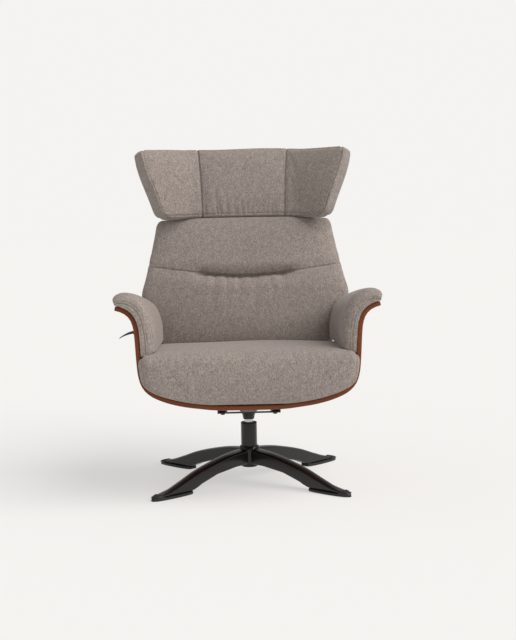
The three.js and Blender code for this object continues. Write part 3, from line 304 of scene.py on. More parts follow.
def turned(name, corners, shape=None):
    """A piece turned about the column's axis from an outline of (radius, height, fillet) corners."""
    points, faces = loft(around(*filleted(corners).T, TURNED_SIDES), True)
    return solid(name, in_chair(shape(points) if shape else points), faces)


# Materials
def colour(hex_value):
    """An sRGB hex colour as linear red, green, blue and alpha."""
    parts = [int(hex_value[i:i + 2], 16) / 255 for i in (1, 3, 5)]
    return tuple(c / 12.92 if c <= 0.04045 else ((c + 0.055) / 1.055) ** 2.4 for c in parts) + (1.0,)


def node(tree, kind, inputs=None, **settings):
    """Adds a node with its settings, and with a value or a link for each named input."""
    item = tree.nodes.new(kind)
    for key, value in settings.items():
        setattr(item, key, value)
    for key, value in (inputs or {}).items():
        if isinstance(value, bpy.types.NodeSocket):
            tree.links.new(value, item.inputs[key])
        else:
            item.inputs[key].default_value = value
    return item


def new_material(name):
    material = bpy.data.materials.new(name)
    material.use_nodes = True
    material.node_tree.nodes.clear()
    return material, material.node_tree


def ramp(tree, factor, stops):
    """A colour ramp with (place, colour) stops."""
    item = node(tree, "ShaderNodeValToRGB", {"Fac": factor})
    band = item.color_ramp
    while len(band.elements) < len(stops):
        band.elements.new(0.5)
    for element, (place, value) in zip(band.elements, stops):
        element.position, element.color = place, value
    return item.outputs["Color"]


def spaced(values):
    """Keyword names as sockets spell them, with spaces."""
    return {key.replace("_", " "): value for key, value in values.items()}


def surface(tree, base, bump, strength, distance, **sockets):
    """The shader and output of a material, with a bump from a height."""
    raised = node(tree, "ShaderNodeBump", {"Height": bump, "Strength": strength, "Distance": distance})
    shader = node(tree, "ShaderNodeBsdfPrincipled",
                  {"Base Color": base, "Normal": raised.outputs[0], **spaced(sockets)})
    node(tree, "ShaderNodeOutputMaterial", {"Surface": shader.outputs[0]})


def object_noise(tree, scale, detail=3.0, stretch=None, rough=0.55):
    """Noise on object coordinates. Scale is one over the feature's size in metres."""
    place = node(tree, "ShaderNodeTexCoord").outputs["Object"]
    if stretch:
        place = node(tree, "ShaderNodeMapping", {"Vector": place, "Scale": stretch}).outputs[0]
    return node(tree, "ShaderNodeTexNoise",
                {"Vector": place, "Scale": scale, "Detail": detail, "Roughness": rough}).outputs[0]


def blended(tree, factor, first, second, mode="MIX"):
    """Two colours mixed by a factor."""
    return node(tree, "ShaderNodeMix", {0: factor, 6: first, 7: second},
                data_type="RGBA", blend_type=mode).outputs[2]


def maths(tree, operation, first, second):
    """A sum or product of two values."""
    return node(tree, "ShaderNodeMath", {0: first, 1: second}, operation=operation).outputs[0]


def grey(level):
    return level, level, level, 1


def dimmed(tone, factor):
    return tuple(c * factor for c in tone[:3]) + (1,)


def brushed_microfibre(name, light, dark, fleck):
    # Knitted polyester microfibre with a brushed, washed nap: cloudy patches, pale flecks, a soft sheen
    material, tree = new_material(name)
    cloud = object_noise(tree, 1 / 0.012, 4.0, (1, 1, 0.6), rough=0.65)
    streak = object_noise(tree, 1 / 0.003, 3.0, (1, 1, 0.5), rough=0.6)
    specks = object_noise(tree, 1 / 0.0022, 2.0, rough=0.7)
    base = ramp(tree, cloud, [(0.34, dark), (0.66, light)])
    base = blended(tree, 0.8, base, ramp(tree, streak, [(0.36, grey(0.62)), (0.64, grey(1.3))]), "MULTIPLY")
    flecked = maths(tree, "MULTIPLY", ramp(tree, specks, [(0.58, grey(0)), (0.72, grey(1))]), 0.22)
    surface(tree, blended(tree, flecked, base, fleck), maths(tree, "ADD", streak, specks), 0.42, 0.0007,
            Roughness=0.93, Sheen_Weight=0.32, Sheen_Roughness=0.42, Sheen_Tint=colour("#e6deda"),
            Specular_IOR_Level=0.18)
    return material


def seam_thread(name, tone):
    # Twisted polyester sewing thread: a tight twist that catches the light along each stitch
    material, tree = new_material(name)
    twist = object_noise(tree, 1 / 0.0006, 1.0, (1, 1, 0.4))
    base = blended(tree, twist, tone, colour("#8d827b"))
    surface(tree, base, twist, 0.5, 0.0002, Roughness=0.6, Sheen_Weight=0.2)
    return material


def veneer(tree, kind, scale, **inputs):
    """A noise or wave texture on the piece's own UV, in metres along and across the grain."""
    uv = node(tree, "ShaderNodeUVMap", uv_map="grain").outputs[0]
    place = node(tree, "ShaderNodeMapping", {"Vector": uv, "Scale": scale}).outputs[0]
    ways = {"bands_direction": "Y"} if kind == "Wave" else {}
    return node(tree, f"ShaderNodeTex{kind}", {"Vector": place, **spaced(inputs)}, **ways).outputs["Fac"]


def walnut_veneer(name, light, mid, dark):
    # Sliced walnut veneer under satin lacquer: long cathedral figure, fine pores, a soft coat on top
    material, tree = new_material(name)
    warp = veneer(tree, "Noise", (1.6, 9, 1), Scale=1.0, Detail=3.0, Distortion=0.6)
    figure = veneer(tree, "Wave", (0.25, 1, 1), Scale=9.0, Distortion=9.0, Detail=3.0, Detail_Scale=1.2)
    pores = veneer(tree, "Noise", (55, 1300, 1), Scale=1.0, Detail=2.0)
    base = ramp(tree, figure, [(0.0, dark), (0.45, mid), (1.0, light)])
    base = blended(tree, 0.35, base, ramp(tree, warp, [(0.3, dark), (0.7, light)]))
    pitted = ramp(tree, pores, [(0.34, (0.45, 0.42, 0.4, 1)), (0.5, grey(1))])
    surface(tree, blended(tree, 0.5, base, pitted, "MULTIPLY"), pores, 0.12, 0.0002, Roughness=0.42,
            Coat_Weight=0.2, Coat_Roughness=0.2, Specular_IOR_Level=0.3)
    return material


def stained_ply_edge(name, light, dark):
    # Sanded, stained plywood edge: thin layers of end and long grain, evened out by the stain
    material, tree = new_material(name)
    layers = veneer(tree, "Wave", (0.01, 1, 1), Scale=110.0, Distortion=0.4, Detail=1.0)
    fibre = veneer(tree, "Noise", (90, 900, 1), Scale=1.0, Detail=2.0)
    base = blended(tree, 0.3, ramp(tree, fibre, [(0.3, dark), (0.7, light)]),
                   ramp(tree, layers, [(0.25, dark), (0.75, light)]))
    surface(tree, base, fibre, 0.15, 0.0002, Roughness=0.5, Coat_Weight=0.1, Coat_Roughness=0.3,
            Specular_IOR_Level=0.3)
    return material


def beech_plywood(name, light, dark):
    # Raw beech: short fine fibres along the length and small dark flecks, sanded and dry
    material, tree = new_material(name)
    fibre = object_noise(tree, 1 / 0.006, 4.0, (0.12, 1, 1.6))
    flecks = object_noise(tree, 1 / 0.0018, 2.0, (0.5, 1, 1))
    base = ramp(tree, fibre, [(0.3, dark), (0.7, light)])
    base = blended(tree, 0.35, base, ramp(tree, flecks, [(0.35, dark), (0.5, light)]))
    surface(tree, base, fibre, 0.2, 0.0003, Roughness=0.7)
    return material


def powder_coat(name, tone, roughness):
    # Black powder coat baked on pressed steel: a fine orange peel under an even semi-gloss
    material, tree = new_material(name)
    peel = object_noise(tree, 1 / 0.0016, 1.0)
    dust = object_noise(tree, 1 / 0.03, 3.0)
    base = blended(tree, dust, tone, colour("#171413"))
    surface(tree, base, peel, 0.12, 0.0002, Roughness=roughness, Specular_IOR_Level=0.35,
            Coat_Weight=0.22, Coat_Roughness=0.12)
    return material


def metal(name, tone, roughness, scale, strength, stretch=None):
    # Bare or plated steel: ground rings on the spindle, a mottled passivated skin on plated parts
    material, tree = new_material(name)
    grind = object_noise(tree, 1 / scale, 3.0, stretch)
    ground = ramp(tree, grind, [(0.35, grey(0)), (0.65, grey(1))])
    base = blended(tree, ground, tone, dimmed(tone, 0.72))
    surface(tree, base, grind, strength, 0.0001, Metallic=1.0, Roughness=roughness)
    return material


def moulded_nylon(name, tone):
    # Glass-filled nylon from a spark-eroded mould: a fine, matt grain that greys the highlights
    material, tree = new_material(name)
    grain = object_noise(tree, 1 / 0.0009, 2.0)
    base = blended(tree, object_noise(tree, 1 / 0.02), tone, colour("#2b2928"))
    surface(tree, base, grain, 0.3, 0.0002, Roughness=0.52, Specular_IOR_Level=0.4)
    return material


def studio_paper(name, tone, painted_glow):
    # Seamless background paper, an even matt roll with hardly any tooth; part of its brightness is painted
    # light, an emission that lightens the shade under the chair
    material, tree = new_material(name)
    tooth = object_noise(tree, 1 / 0.004)
    shaded = dimmed(tone, 1 - painted_glow)
    base = blended(tree, tooth, shaded, dimmed(shaded, 0.995))
    # The emission is painted light: the paper shines by itself, which lightens the shadows cast on it
    surface(tree, base, tooth, 0.02, 0.0002, Roughness=0.95, Specular_IOR_Level=0.0,
            Emission_Color=tone, Emission_Strength=painted_glow)
    return material


# Soft goods
HOLD_LEVELS, SWELL_FRAMES = 10, 20


def vectors(rows, key="vector"):
    """The three values of every row of a mesh's data."""
    values = np.empty(len(rows) * 3, np.float32)
    rows.foreach_get(key, values)
    return values.reshape(-1, 3).astype(float)


def read_points(mesh):
    return vectors(mesh.vertices, "co") / MM


def read_form(mesh):
    """Where each point lay on the box that a cover was made from."""
    return vectors(mesh.attributes["form"].data)


def write_points(mesh, points):
    mesh.vertices.foreach_set("co", (np.asarray(points) * MM).astype(np.float32).ravel())
    mesh.update()


def inflated(piece, held, give, cap, shrink):
    """Swells a cover by air pressure from a slightly smaller shape, held at seams and where it rests."""
    scene, mesh = bpy.context.scene, piece.data
    start = read_points(mesh) - vectors(mesh.vertex_normals) * (shrink * (1 - held))[:, None]
    write_points(mesh, start)
    group = piece.vertex_groups.new(name="held")
    levels = np.round(held * HOLD_LEVELS).astype(int)
    for level in range(1, HOLD_LEVELS + 1):
        group.add(np.flatnonzero(levels == level).tolist(), level / HOLD_LEVELS, "REPLACE")
    cloth = piece.modifiers.new("cover", "CLOTH")
    for key, value in dict(quality=4, mass=0.25, use_pressure=True, uniform_pressure_force=4,
                           vertex_group_mass="held").items():
        setattr(cloth.settings, key, value)
    cloth.settings.effector_weights.gravity = 0
    cloth.collision_settings.use_collision = False
    cloth.point_cache.frame_start, cloth.point_cache.frame_end = 1, SWELL_FRAMES
    for number in range(1, SWELL_FRAMES + 1):
        scene.frame_set(number)
    swollen = piece.evaluated_get(bpy.context.evaluated_depsgraph_get())
    step = (read_points(swollen.to_mesh()) - start) * give
    swollen.to_mesh_clear()
    piece.modifiers.clear()
    piece.vertex_groups.clear()
    length = np.linalg.norm(step, axis=1, keepdims=True)
    write_points(mesh, start + step * np.minimum(1, cap / np.maximum(length, 1e-6)))
    scene.frame_set(1)


def groove(distance, width, depth):
    """A rounded channel: how far the surface sinks at a distance from a seam."""
    return -depth * np.exp(-(distance / width) ** 2)


def shares(p, half):
    """Where points of a box lie: across it from -1 to 1, then rearward and up from 0 to 1."""
    x, y, z = (p / half).T
    return x, (y + 1) / 2, (z + 1) / 2


# Each face of a box, or pair of faces, as its axis and its side, which is 0 for both
FACES = {"front": (1, -1), "rear": (1, 1), "foot": (0, 1), "under": (2, -1), "sides": (0, 0), "ends": (2, 0)}


def near(raw, half, face, start, end):
    """How near points of a box lie to a face or a pair of faces: 0 at one distance, 1 at a smaller one."""
    axis, side = FACES[face]
    along = side * raw[:, axis] if side else np.abs(raw[:, axis])
    return smoothstep(along, half[axis] - start, half[axis] - end)


def most(*weights):
    return np.maximum.reduce(weights)


def gathers(along, away, spacing, length, depth, seed):
    """Creases that start at a seam, uneven in place, width, slant and length."""
    chance = np.random.default_rng(seed)
    total = np.zeros_like(along)
    for place in np.arange(along.min(), along.max(), spacing):
        middle = place + chance.uniform(-0.4, 0.4) * spacing
        width = spacing * chance.uniform(0.2, 0.38)
        slant = chance.uniform(-0.22, 0.22)
        reach = length * chance.uniform(0.4, 1.25)
        line = np.exp(-((along - middle - slant * away) / width) ** 2)
        total -= depth * chance.uniform(0.4, 1.1) * line * np.exp(-(np.maximum(away, 0) / reach) ** 1.6)
    return total * smoothstep(away, -3, 1)


def soft_piece(name, half, radius, stops, form, place, held, give, detail, cap, shrink, boxes=()):
    """A cushion: its form, swollen by pressure, then subdivided, sewn and creased, and put in its place."""
    raw, quads = rounded_box(half, radius, stops)
    piece = faced_out(new_mesh(name, form(raw), quads, form=raw))
    inflated(piece, held(read_form(piece.data)), np.array(give, float), cap, shrink)
    finer = piece.modifiers.new("finer", "SUBSURF")
    finer.levels = finer.render_levels = 1
    mesh = evaluated(piece).data
    points = read_points(mesh)
    sunk = detail(read_form(mesh), points)
    write_points(mesh, place(points + vectors(mesh.vertex_normals) * sunk[:, None]))
    mesh.attributes.remove(mesh.attributes["form"])
    if boxes:
        carved(piece, boxes, place)
    return piece


def carved(piece, boxes, place):
    """Cuts channels, each given by its lowest and highest corner, out of a piece."""
    for low, high in boxes:
        points, faces = grid_box(*zip(low, high))
        cutter = faced_out(new_mesh("channel", place(points), faces, smooth=False))
        cut = piece.modifiers.new("channel", "BOOLEAN")
        cut.operation, cut.solver, cut.object = "DIFFERENCE", "EXACT", cutter
        evaluated(piece)
        bpy.data.objects.remove(cutter)
    creased(piece, 50)


# Seat shell's section, from the middle of its floor to the tip of an arm
SHELL_SHARES = [
    (0, 0), (0.24, 0.004), (0.375, 0.022), (0.5, 0.046), (0.625, 0.088), (0.735, 0.152), (0.8, 0.237),
    (0.83, 0.35), (0.842, 0.5), (0.851, 0.7), (0.86, 0.82), (0.881, 0.905), (0.915, 0.955),
    (0.96, 0.986), (1, 1),
]
outer_line = at_share(through([(SHELL_HALF * a, SHELL_FLOOR + SHELL_RISE * u) for a, u in SHELL_SHARES]),
                      np.linspace(0, 1, 70))
inner_line = offset_line(outer_line, SHELL_PLY)
inner_line[0, 0] = 0


def inside_half(height, clearance=0.0):
    """Half the width between the shell's walls at a height."""
    return np.interp(height, inner_line[:, 1], inner_line[:, 0]) - clearance


def lowered(y, height):
    """The arms fall towards the rear: a height of the front section at a distance along the chair."""
    along = (y - SHELL_FRONT) / (SHELL_SIDE_REAR - SHELL_FRONT)
    high = np.maximum(0, height - SHELL_FLOOR - SHELL_BEND) / (SHELL_RISE - SHELL_BEND)
    return height - ARM_DROP * along * high


# Seat cushion
SEAT_FRONT, SEAT_REAR, SEAT_SIDE_TOP, SEAT_LOW, SEAT_RADIUS = -363.0, 128.0, 441.0, 287.0, 34.0
SEAT_CLEAR, SEAT_HANG, SEAT_BED = 2.5, 14.5, 346.5
SEAT_CROWN, SEAT_FALL, SEAT_SEAM = 6.0, 24.0, 12.0
seat_half = np.array([float(inside_half(SEAT_SIDE_TOP, SEAT_CLEAR)), (SEAT_REAR - SEAT_FRONT) / 2,
                      (SEAT_SIDE_TOP - SEAT_LOW) / 2])
seat_middle = np.array([0, (SEAT_REAR + SEAT_FRONT) / 2, (SEAT_SIDE_TOP + SEAT_LOW) / 2])


def seat_form(p):
    """A crowned block that fills the shell's width, and in front of its lip hangs a little wider."""
    across, back, up = shares(p, seat_half)
    lip = SHELL_FRONT - SOFT_GAP
    x, y, z = (p + seat_middle).T
    beyond = 1 - smoothstep(y, lip - 6, lip + 1)
    room = np.minimum(inside_half(z, SEAT_CLEAR), seat_half[0])
    x = across * (room + beyond * SEAT_HANG * smoothstep(z, 300, 352))
    arch = (1 - np.abs(across) ** 2.6) * np.sin(math.pi * np.minimum(back * 1.15 + 0.2, 1) / 2)
    z = z + smoothstep(up, 0.3, 1) * (SEAT_CROWN * arch - SEAT_FALL * back * back)
    return np.stack([x, y, np.where((y > SEAT_FRONT + 48) & (z < SEAT_BED), SEAT_BED, z)], axis=1)


def seat_detail(raw, points):
    top = smoothstep(raw[:, 2], -20, 30)
    seam = groove(np.abs(raw[:, 0]) - (seat_half[0] - SEAT_SEAM), 2.6, 2.6)
    sewn = most(near(raw, seat_half, "front", 60, 20), top * 0.8) * smoothstep(points[:, 2], 300, 330)
    wave = np.sin(points[:, 0] / 61 + 0.6) * np.sin(points[:, 1] / 83 + 1.1) * 1.3
    return seam * sewn + wave * top


def seat_held(raw):
    return most(near(raw, seat_half, "under", 40, 20), near(raw, seat_half, "sides", 14, 4),
                near(raw, seat_half, "rear", 30, 10))


# Arm pads
PAD_FRONT, PAD_REAR, PAD_REAR_LEAN, PAD_LOW = -331.0, 168.0, 0.22, 430.0
pad_half = np.array([125.0, 34.0, (PAD_REAR - PAD_FRONT) / 2])
pad_bed = offset_line(inner_line, SOFT_GAP)
pad_bed = pad_bed[pad_bed[:, 1] > PAD_LOW][::-1]
pad_bed = np.vstack([pad_bed, [float(inside_half(PAD_LOW, SOFT_GAP)), PAD_LOW]])
pad_roll = through([(384, 586), (390.5, 596), (382, 610), (360, 618), (332, 614), (306, 599), (287, 573),
                    (277, 543), (271, 512), (268.5, 490), (268, 443)], 6)
PAD_STRIP, PAD_NOSE, PAD_TAIL = 0.3, 34.0, 30.0
PAD_SEAMS = (1.5, 8.5)


def pad_round(w):
    """How far a place lies round the pad's front from the corner of its front strip."""
    return PAD_NOSE * np.arccos(np.clip(1 - (w + pad_half[2]) / PAD_NOSE, 0, 1))


def pad_form(p, side):
    """A pad between the shell's inner side and its own roll, thinner round its front and its rear."""
    across, v, w = shares(p, pad_half)
    u = (across + 1) / 2
    bed, roll = at_share(pad_bed, u), at_share(pad_roll, u)
    length = PAD_REAR - PAD_FRONT
    nose = np.clip(1 - w * length / PAD_NOSE, 0, 1)
    tail = np.clip(1 - (1 - w) * length / PAD_TAIL, 0, 1)
    full = PAD_STRIP + (1 - PAD_STRIP) * np.sqrt(1 - nose**2)
    full *= 0.75 + 0.25 * np.sqrt(1 - tail**2)
    crown = 1 + 0.05 * np.sin(math.pi * w)
    x, z = (bed + (roll - bed) * (v * full * crown)[:, None]).T
    rear = PAD_REAR + PAD_REAR_LEAN * (z - PAD_LOW)
    y = PAD_FRONT + (rear - PAD_FRONT) * w
    return np.stack([side * x, y, lowered(y, z)], axis=1)


def pad_detail(raw, points):
    """The double seam round the front, puckers behind it and the seam round the rear."""
    round_nose = pad_round(raw[:, 2])
    rows = groove(round_nose - PAD_SEAMS[0], 2.0, 2.0) + groove(round_nose - PAD_SEAMS[1], 1.8, 1.5)
    puckers = gathers(raw[:, 0], round_nose - PAD_SEAMS[1], 17, 24, 1.2, 4) * 0.8
    rear = groove(raw[:, 2] - pad_half[2] + 8, 2.2, 1.6)
    return near(raw, pad_half, "rear", 16, 6) * (rows + puckers + rear)


def pad_held(raw):
    return most(near(raw, pad_half, "front", 26, 12), 1 - smoothstep(pad_round(raw[:, 2]), 6, 20),
                near(raw, pad_half, "foot", 30, 6))


# Back cushion, drawn upright from the hinge
BACK_OUTLINE = [(0, 0.83), (0.24, 0.93), (0.34, 0.995), (0.38, 1), (0.41, 0.988), (0.443, 0.968),
                (0.485, 0.951), (0.527, 0.934), (0.652, 0.918), (0.8, 0.888), (0.891, 0.867), (1, 0.85)]
BACK_DEPTHS = [(0, 0.92), (0.2, 1), (0.45, 0.97), (0.62, 0.9), (1, 0.76)]
back_half = np.array([BACK_HALF, BACK_DEPTH / 2, (BACK_HIGH - BACK_LOW) / 2])
back_middle = (BACK_HIGH + BACK_LOW) / 2
LUMBAR = 250.0 - back_middle
LUMBAR_RISE = 41.0
WING_LEAN = 0.249


def back_width(height):
    return BACK_HALF * smooth_table(BACK_OUTLINE, (height - BACK_LOW) / (BACK_HIGH - BACK_LOW))


def back_form(p):
    """Two rolls with a valley at the lumbar seam, which rises towards its ends; the top follows the wings."""
    across, rearward, share = shares(p, back_half)
    height, rise = p[:, 2] + back_middle, p[:, 2] - LUMBAR
    x, forward = across * back_width(height), 1 - rearward
    depth = BACK_DEPTH * smooth_table(BACK_DEPTHS, share) * (1 - 0.3 * np.abs(across) ** 3)
    tufted = 1 - smoothstep(np.abs(across), 0.36, 0.56)
    valley = (10 * np.exp(-(rise / 26) ** 2) + 9 * np.exp(-(rise / 8) ** 2)) * (0.4 + 0.6 * tufted)
    y = BOARD_FACE - FIT - forward * (depth - valley * (1 - 0.62 * across**2))
    wing = -WING_LEAN * wing_line(x)[1]
    dip = smoothstep(share, 0.72, 1) * (3 + (1.5 + 0.4 * wing) * forward)
    pull = np.maximum(0, 1 - np.abs(rise) / 90)
    return np.stack([x, y, height - dip + pull * LUMBAR_RISE * np.abs(across) ** 1.6], axis=1)


def back_detail(raw, points):
    """The lumbar seam with its pleats, dimples at its ends, the rolls beside it and the boxing seam."""
    front = smoothstep(-raw[:, 1], 10, 40)
    rise, across = raw[:, 2] - LUMBAR, raw[:, 0] / back_half[0]
    middle = 1 - smoothstep(np.abs(across), 0.36, 0.54)
    seam = groove(rise, 3.2, 2.6 + 6 * middle)
    pleats = gathers(raw[:, 0], -rise, 30, 56, 5.4, 7) * (0.15 + 0.85 * middle)
    above = gathers(raw[:, 0], rise, 27, 24, 2.0, 8) * middle
    ends = -5 * np.exp(-((np.abs(across) - 0.44) / 0.06) ** 2 - (rise / 16) ** 2)
    puff = 4.5 * np.exp(-((np.abs(rise) - 30) / 24) ** 2) * (0.4 + 0.6 * middle)
    boxing = groove(raw[:, 1] + back_half[1] - 22, 2.4, 2.4) * near(raw, back_half, "sides", 12, 6)
    wave = 1.6 * np.sin(points[:, 0] / 58 + 2.0) * np.sin(points[:, 2] / 71)
    return front * (seam + pleats + above + puff + wave + ends) + boxing


def back_held(raw):
    seam = 1 - smoothstep(np.abs(raw[:, 2] - LUMBAR), 3, 9)
    return most(near(raw, back_half, "rear", 34, 20), seam * 0.95, near(raw, back_half, "ends", 16, 4))


# Headrest: its middle line in plan is straight behind the head, then bends forward into each wing
HEAD_LOW, HEAD_HIGH, HEAD_REAR = 452.0, 684.0, -25.0
HEAD_BEND, HEAD_FLAT, HEAD_ANGLE = 80.0, 140.0, math.radians(33)
HEAD_SEAM, HEAD_SEAM_LOW, HEAD_DEPTH = 152.0, 136.0, 62.0


def wing_line(distance):
    reach, side = np.abs(distance), np.sign(distance)
    radius = HEAD_BEND / HEAD_ANGLE
    turn = np.clip((reach - HEAD_FLAT) / radius, 0, HEAD_ANGLE)
    straight = np.maximum(0, reach - HEAD_FLAT - HEAD_BEND)
    x = np.minimum(reach, HEAD_FLAT) + radius * np.sin(turn) + straight * math.cos(HEAD_ANGLE)
    y = -radius * (1 - np.cos(turn)) - straight * math.sin(HEAD_ANGLE)
    return side * x, y, side * turn


def wing_length(half_width):
    bend = HEAD_BEND / HEAD_ANGLE * math.sin(HEAD_ANGLE)
    return HEAD_FLAT + HEAD_BEND + (half_width - HEAD_FLAT - bend) / math.cos(HEAD_ANGLE)


head_long, head_short = wing_length(358), wing_length(287)
head_half = np.array([head_long, 30.0, (HEAD_HIGH - HEAD_LOW) / 2])
head_middle = (HEAD_HIGH + HEAD_LOW) / 2


def head_form(p):
    """Three panels of even depth along the bent line, with rounded corners at the wings' ends."""
    _, rearward, up = shares(p, head_half)
    forward, reach = 1 - rearward, np.abs(p[:, 0])
    beyond = np.clip((reach - HEAD_SEAM) / (head_long - HEAD_SEAM), 0, 1)
    low = np.clip(1 - (p[:, 2] + head_half[2]) / 32, 0, 1)
    high = np.clip(1 - (head_half[2] - p[:, 2]) / 16, 0, 1)
    cut = 38 * (1 - np.sqrt(1 - low**2)) + 12 * (1 - np.sqrt(1 - high**2))
    length = head_short + (head_long - head_short) * smoothstep(up, -0.2, 1) - cut
    seam = HEAD_SEAM_LOW + (HEAD_SEAM - HEAD_SEAM_LOW) * up**2.2
    distance = np.where(reach < HEAD_SEAM, p[:, 0] * seam / HEAD_SEAM,
                        np.sign(p[:, 0]) * (seam + (length - seam) * beyond))
    crown = HEAD_DEPTH - 2 * smoothstep(reach, HEAD_SEAM - 10, HEAD_SEAM + 10)
    depth = crown * (0.86 + 0.14 * np.sin(math.pi * up)) - 5 * np.exp(-((reach - HEAD_SEAM) / 12) ** 2)
    x, y, heading = wing_line(distance)
    return np.stack([x - forward * depth * np.sin(heading), HEAD_REAR + y - forward * depth * np.cos(heading),
                     p[:, 2] + head_middle + WING_LEAN * y], axis=1)


def head_detail(raw, points):
    """The panel seams, gathers along them and the hems, and the folds of the wings' gussets."""
    reach, front = np.abs(raw[:, 0]), smoothstep(-raw[:, 1], 2, 16)
    from_low, from_high = head_half[2] + raw[:, 2], head_half[2] - raw[:, 2]
    seam = groove(reach - HEAD_SEAM, 3.0, 4.6)
    panel = smoothstep(-reach, -HEAD_SEAM + 2, -HEAD_SEAM + 12)
    low = gathers(raw[:, 0], from_low - 8, 16, 54, 3.8, 21) * panel
    high = gathers(raw[:, 0], from_high - 10, 21, 26, 0.8, 22) * panel
    wing = gathers(raw[:, 2] + 3 * np.sign(raw[:, 0]), head_long - reach - 9, 17, 26, 2.3, 23)
    edge = groove(head_long - reach - 8, 2.6, 2.8)
    hem = groove(from_low - 7, 2.6, 2.2) + groove(from_high - 7, 2.6, 1.6)
    folds = gathers(raw[:, 2], np.abs(raw[:, 1]), 26, 30, 1.6, 24) * near(raw, head_half, "sides", 5, 1)
    wave = 1.4 * np.sin(points[:, 0] / 47 + 0.4) * np.sin(points[:, 2] / 52 + 1)
    return front * (seam + low + high + wing + edge + wave) + hem + folds


def head_held(raw):
    seam = 1 - smoothstep(np.abs(np.abs(raw[:, 0]) - HEAD_SEAM), 2, 9)
    return most(seam * 0.9, near(raw, head_half, "rear", 22, 12), near(raw, head_half, "sides", 10, 3) * 0.9,
                near(raw, head_half, "under", 14, 4))


# Upholstered rear of the back and of the headrest
POST_APART, POST_RADIUS, POST_Y, POST_LOW, POST_HIGH = 70.0, 7.0, -14.0, 300.0, 494.0
BACK_ROUND, COVER_ROUND, HEAD_PAD_ROUND, HEAD_ROUND = 24.0, 12.0, 14.0, (10.0, 15.0, 20.0)
# Channels cut for the headrest's guides, the board, the crank, the posts and the headrest's core
GUIDE_ROOM = (10.2, (-24.4, 12), (298.5, 470))
COVER_GUIDE_ROOM = (8.2, (-16, -5.8), (420, 470))
BOARD_ROOM, CRANK_ROOM = ((-187, -16, 0), (187, 12, 427)), ((-18.3, 0, 0), (18.3, 60, 30))
POST_ROOM, CORE_ROOM = (16, (-45, 0), (430, 487)), ((-138, -40, 440), (138, 3, 655))
COVER_REAR, HEAD_PAD_REAR, HEAD_PAD_LOW, HEAD_PAD_HIGH = 38.0, 33.0, 455.0, 681.0
HEAD_PAD_FRONT = HEAD_REAR + FIT
cover_half = np.array([BACK_HALF, (COVER_REAR - BOARD_FACE) / 2, (BACK_HIGH - BACK_LOW) / 2])
head_pad_half = np.array([168.0, (HEAD_PAD_REAR - HEAD_PAD_FRONT) / 2, (HEAD_PAD_HIGH - HEAD_PAD_LOW) / 2])


def at_posts(half, depths, heights):
    """A box round each of the headrest's posts, as its lowest and highest corner."""
    return [tuple(zip((post - half, post + half), depths, heights)) for post in (-POST_APART, POST_APART)]


def bulging(across, rearward, front, rear, fall):
    """A rear face that falls away towards its sides."""
    return front + rearward * (rear - front) * (1 - fall * np.abs(across) ** 4)


def cover_form(p):
    across, rearward, _ = shares(p, cover_half)
    height = p[:, 2] + back_middle
    y = bulging(across, rearward, BOARD_FACE, COVER_REAR, 0.2)
    sunk = (3 + 11 * rearward) * smoothstep(height, 412, 455)
    return np.stack([across * (back_width(height) - 2), y, height - sunk], axis=1)


def from_edge(raw, half):
    return np.minimum(half[0] - np.abs(raw[:, 0]), half[2] - np.abs(raw[:, 2]))


def cover_detail(raw, points):
    panel = groove(np.abs(raw[:, 0]) - 190, 2.6, 2.4)
    wave = 1.2 * np.sin(points[:, 0] / 66) * np.sin(points[:, 2] / 57)
    return smoothstep(raw[:, 1], 4, 14) * (groove(from_edge(raw, cover_half) - 16, 2.4, 2.2) + panel + wave)


def cover_held(raw):
    return most(smoothstep(-raw[:, 1], 4, 12), smoothstep(np.abs(raw[:, 2]), 205, 213))


def head_pad_form(p):
    across, rearward, _ = shares(p, head_pad_half)
    return np.stack([p[:, 0], bulging(across, rearward, HEAD_PAD_FRONT, HEAD_PAD_REAR, 0.18),
                     p[:, 2] + (HEAD_PAD_HIGH + HEAD_PAD_LOW) / 2], axis=1)


def head_pad_detail(raw, points):
    return smoothstep(raw[:, 1], 4, 16) * groove(from_edge(raw, head_pad_half) - 14, 2.4, 2.2)


def head_pad_held(raw):
    return smoothstep(-raw[:, 1], 8, 18)


# Bent shell: a rounded sheet in arc length, thickness and distance along the chair, bent along its section
SHEET_HALF, SHEET_ROUND, SHEET_PITCHES = 270.0, 3.0, (14, 22, 8)
SHELL_FLOOR_REAR, SHELL_STEP, ARM_SPREAD, ARM_CORNER = 205.0, 55.0, 25.0, 34.0


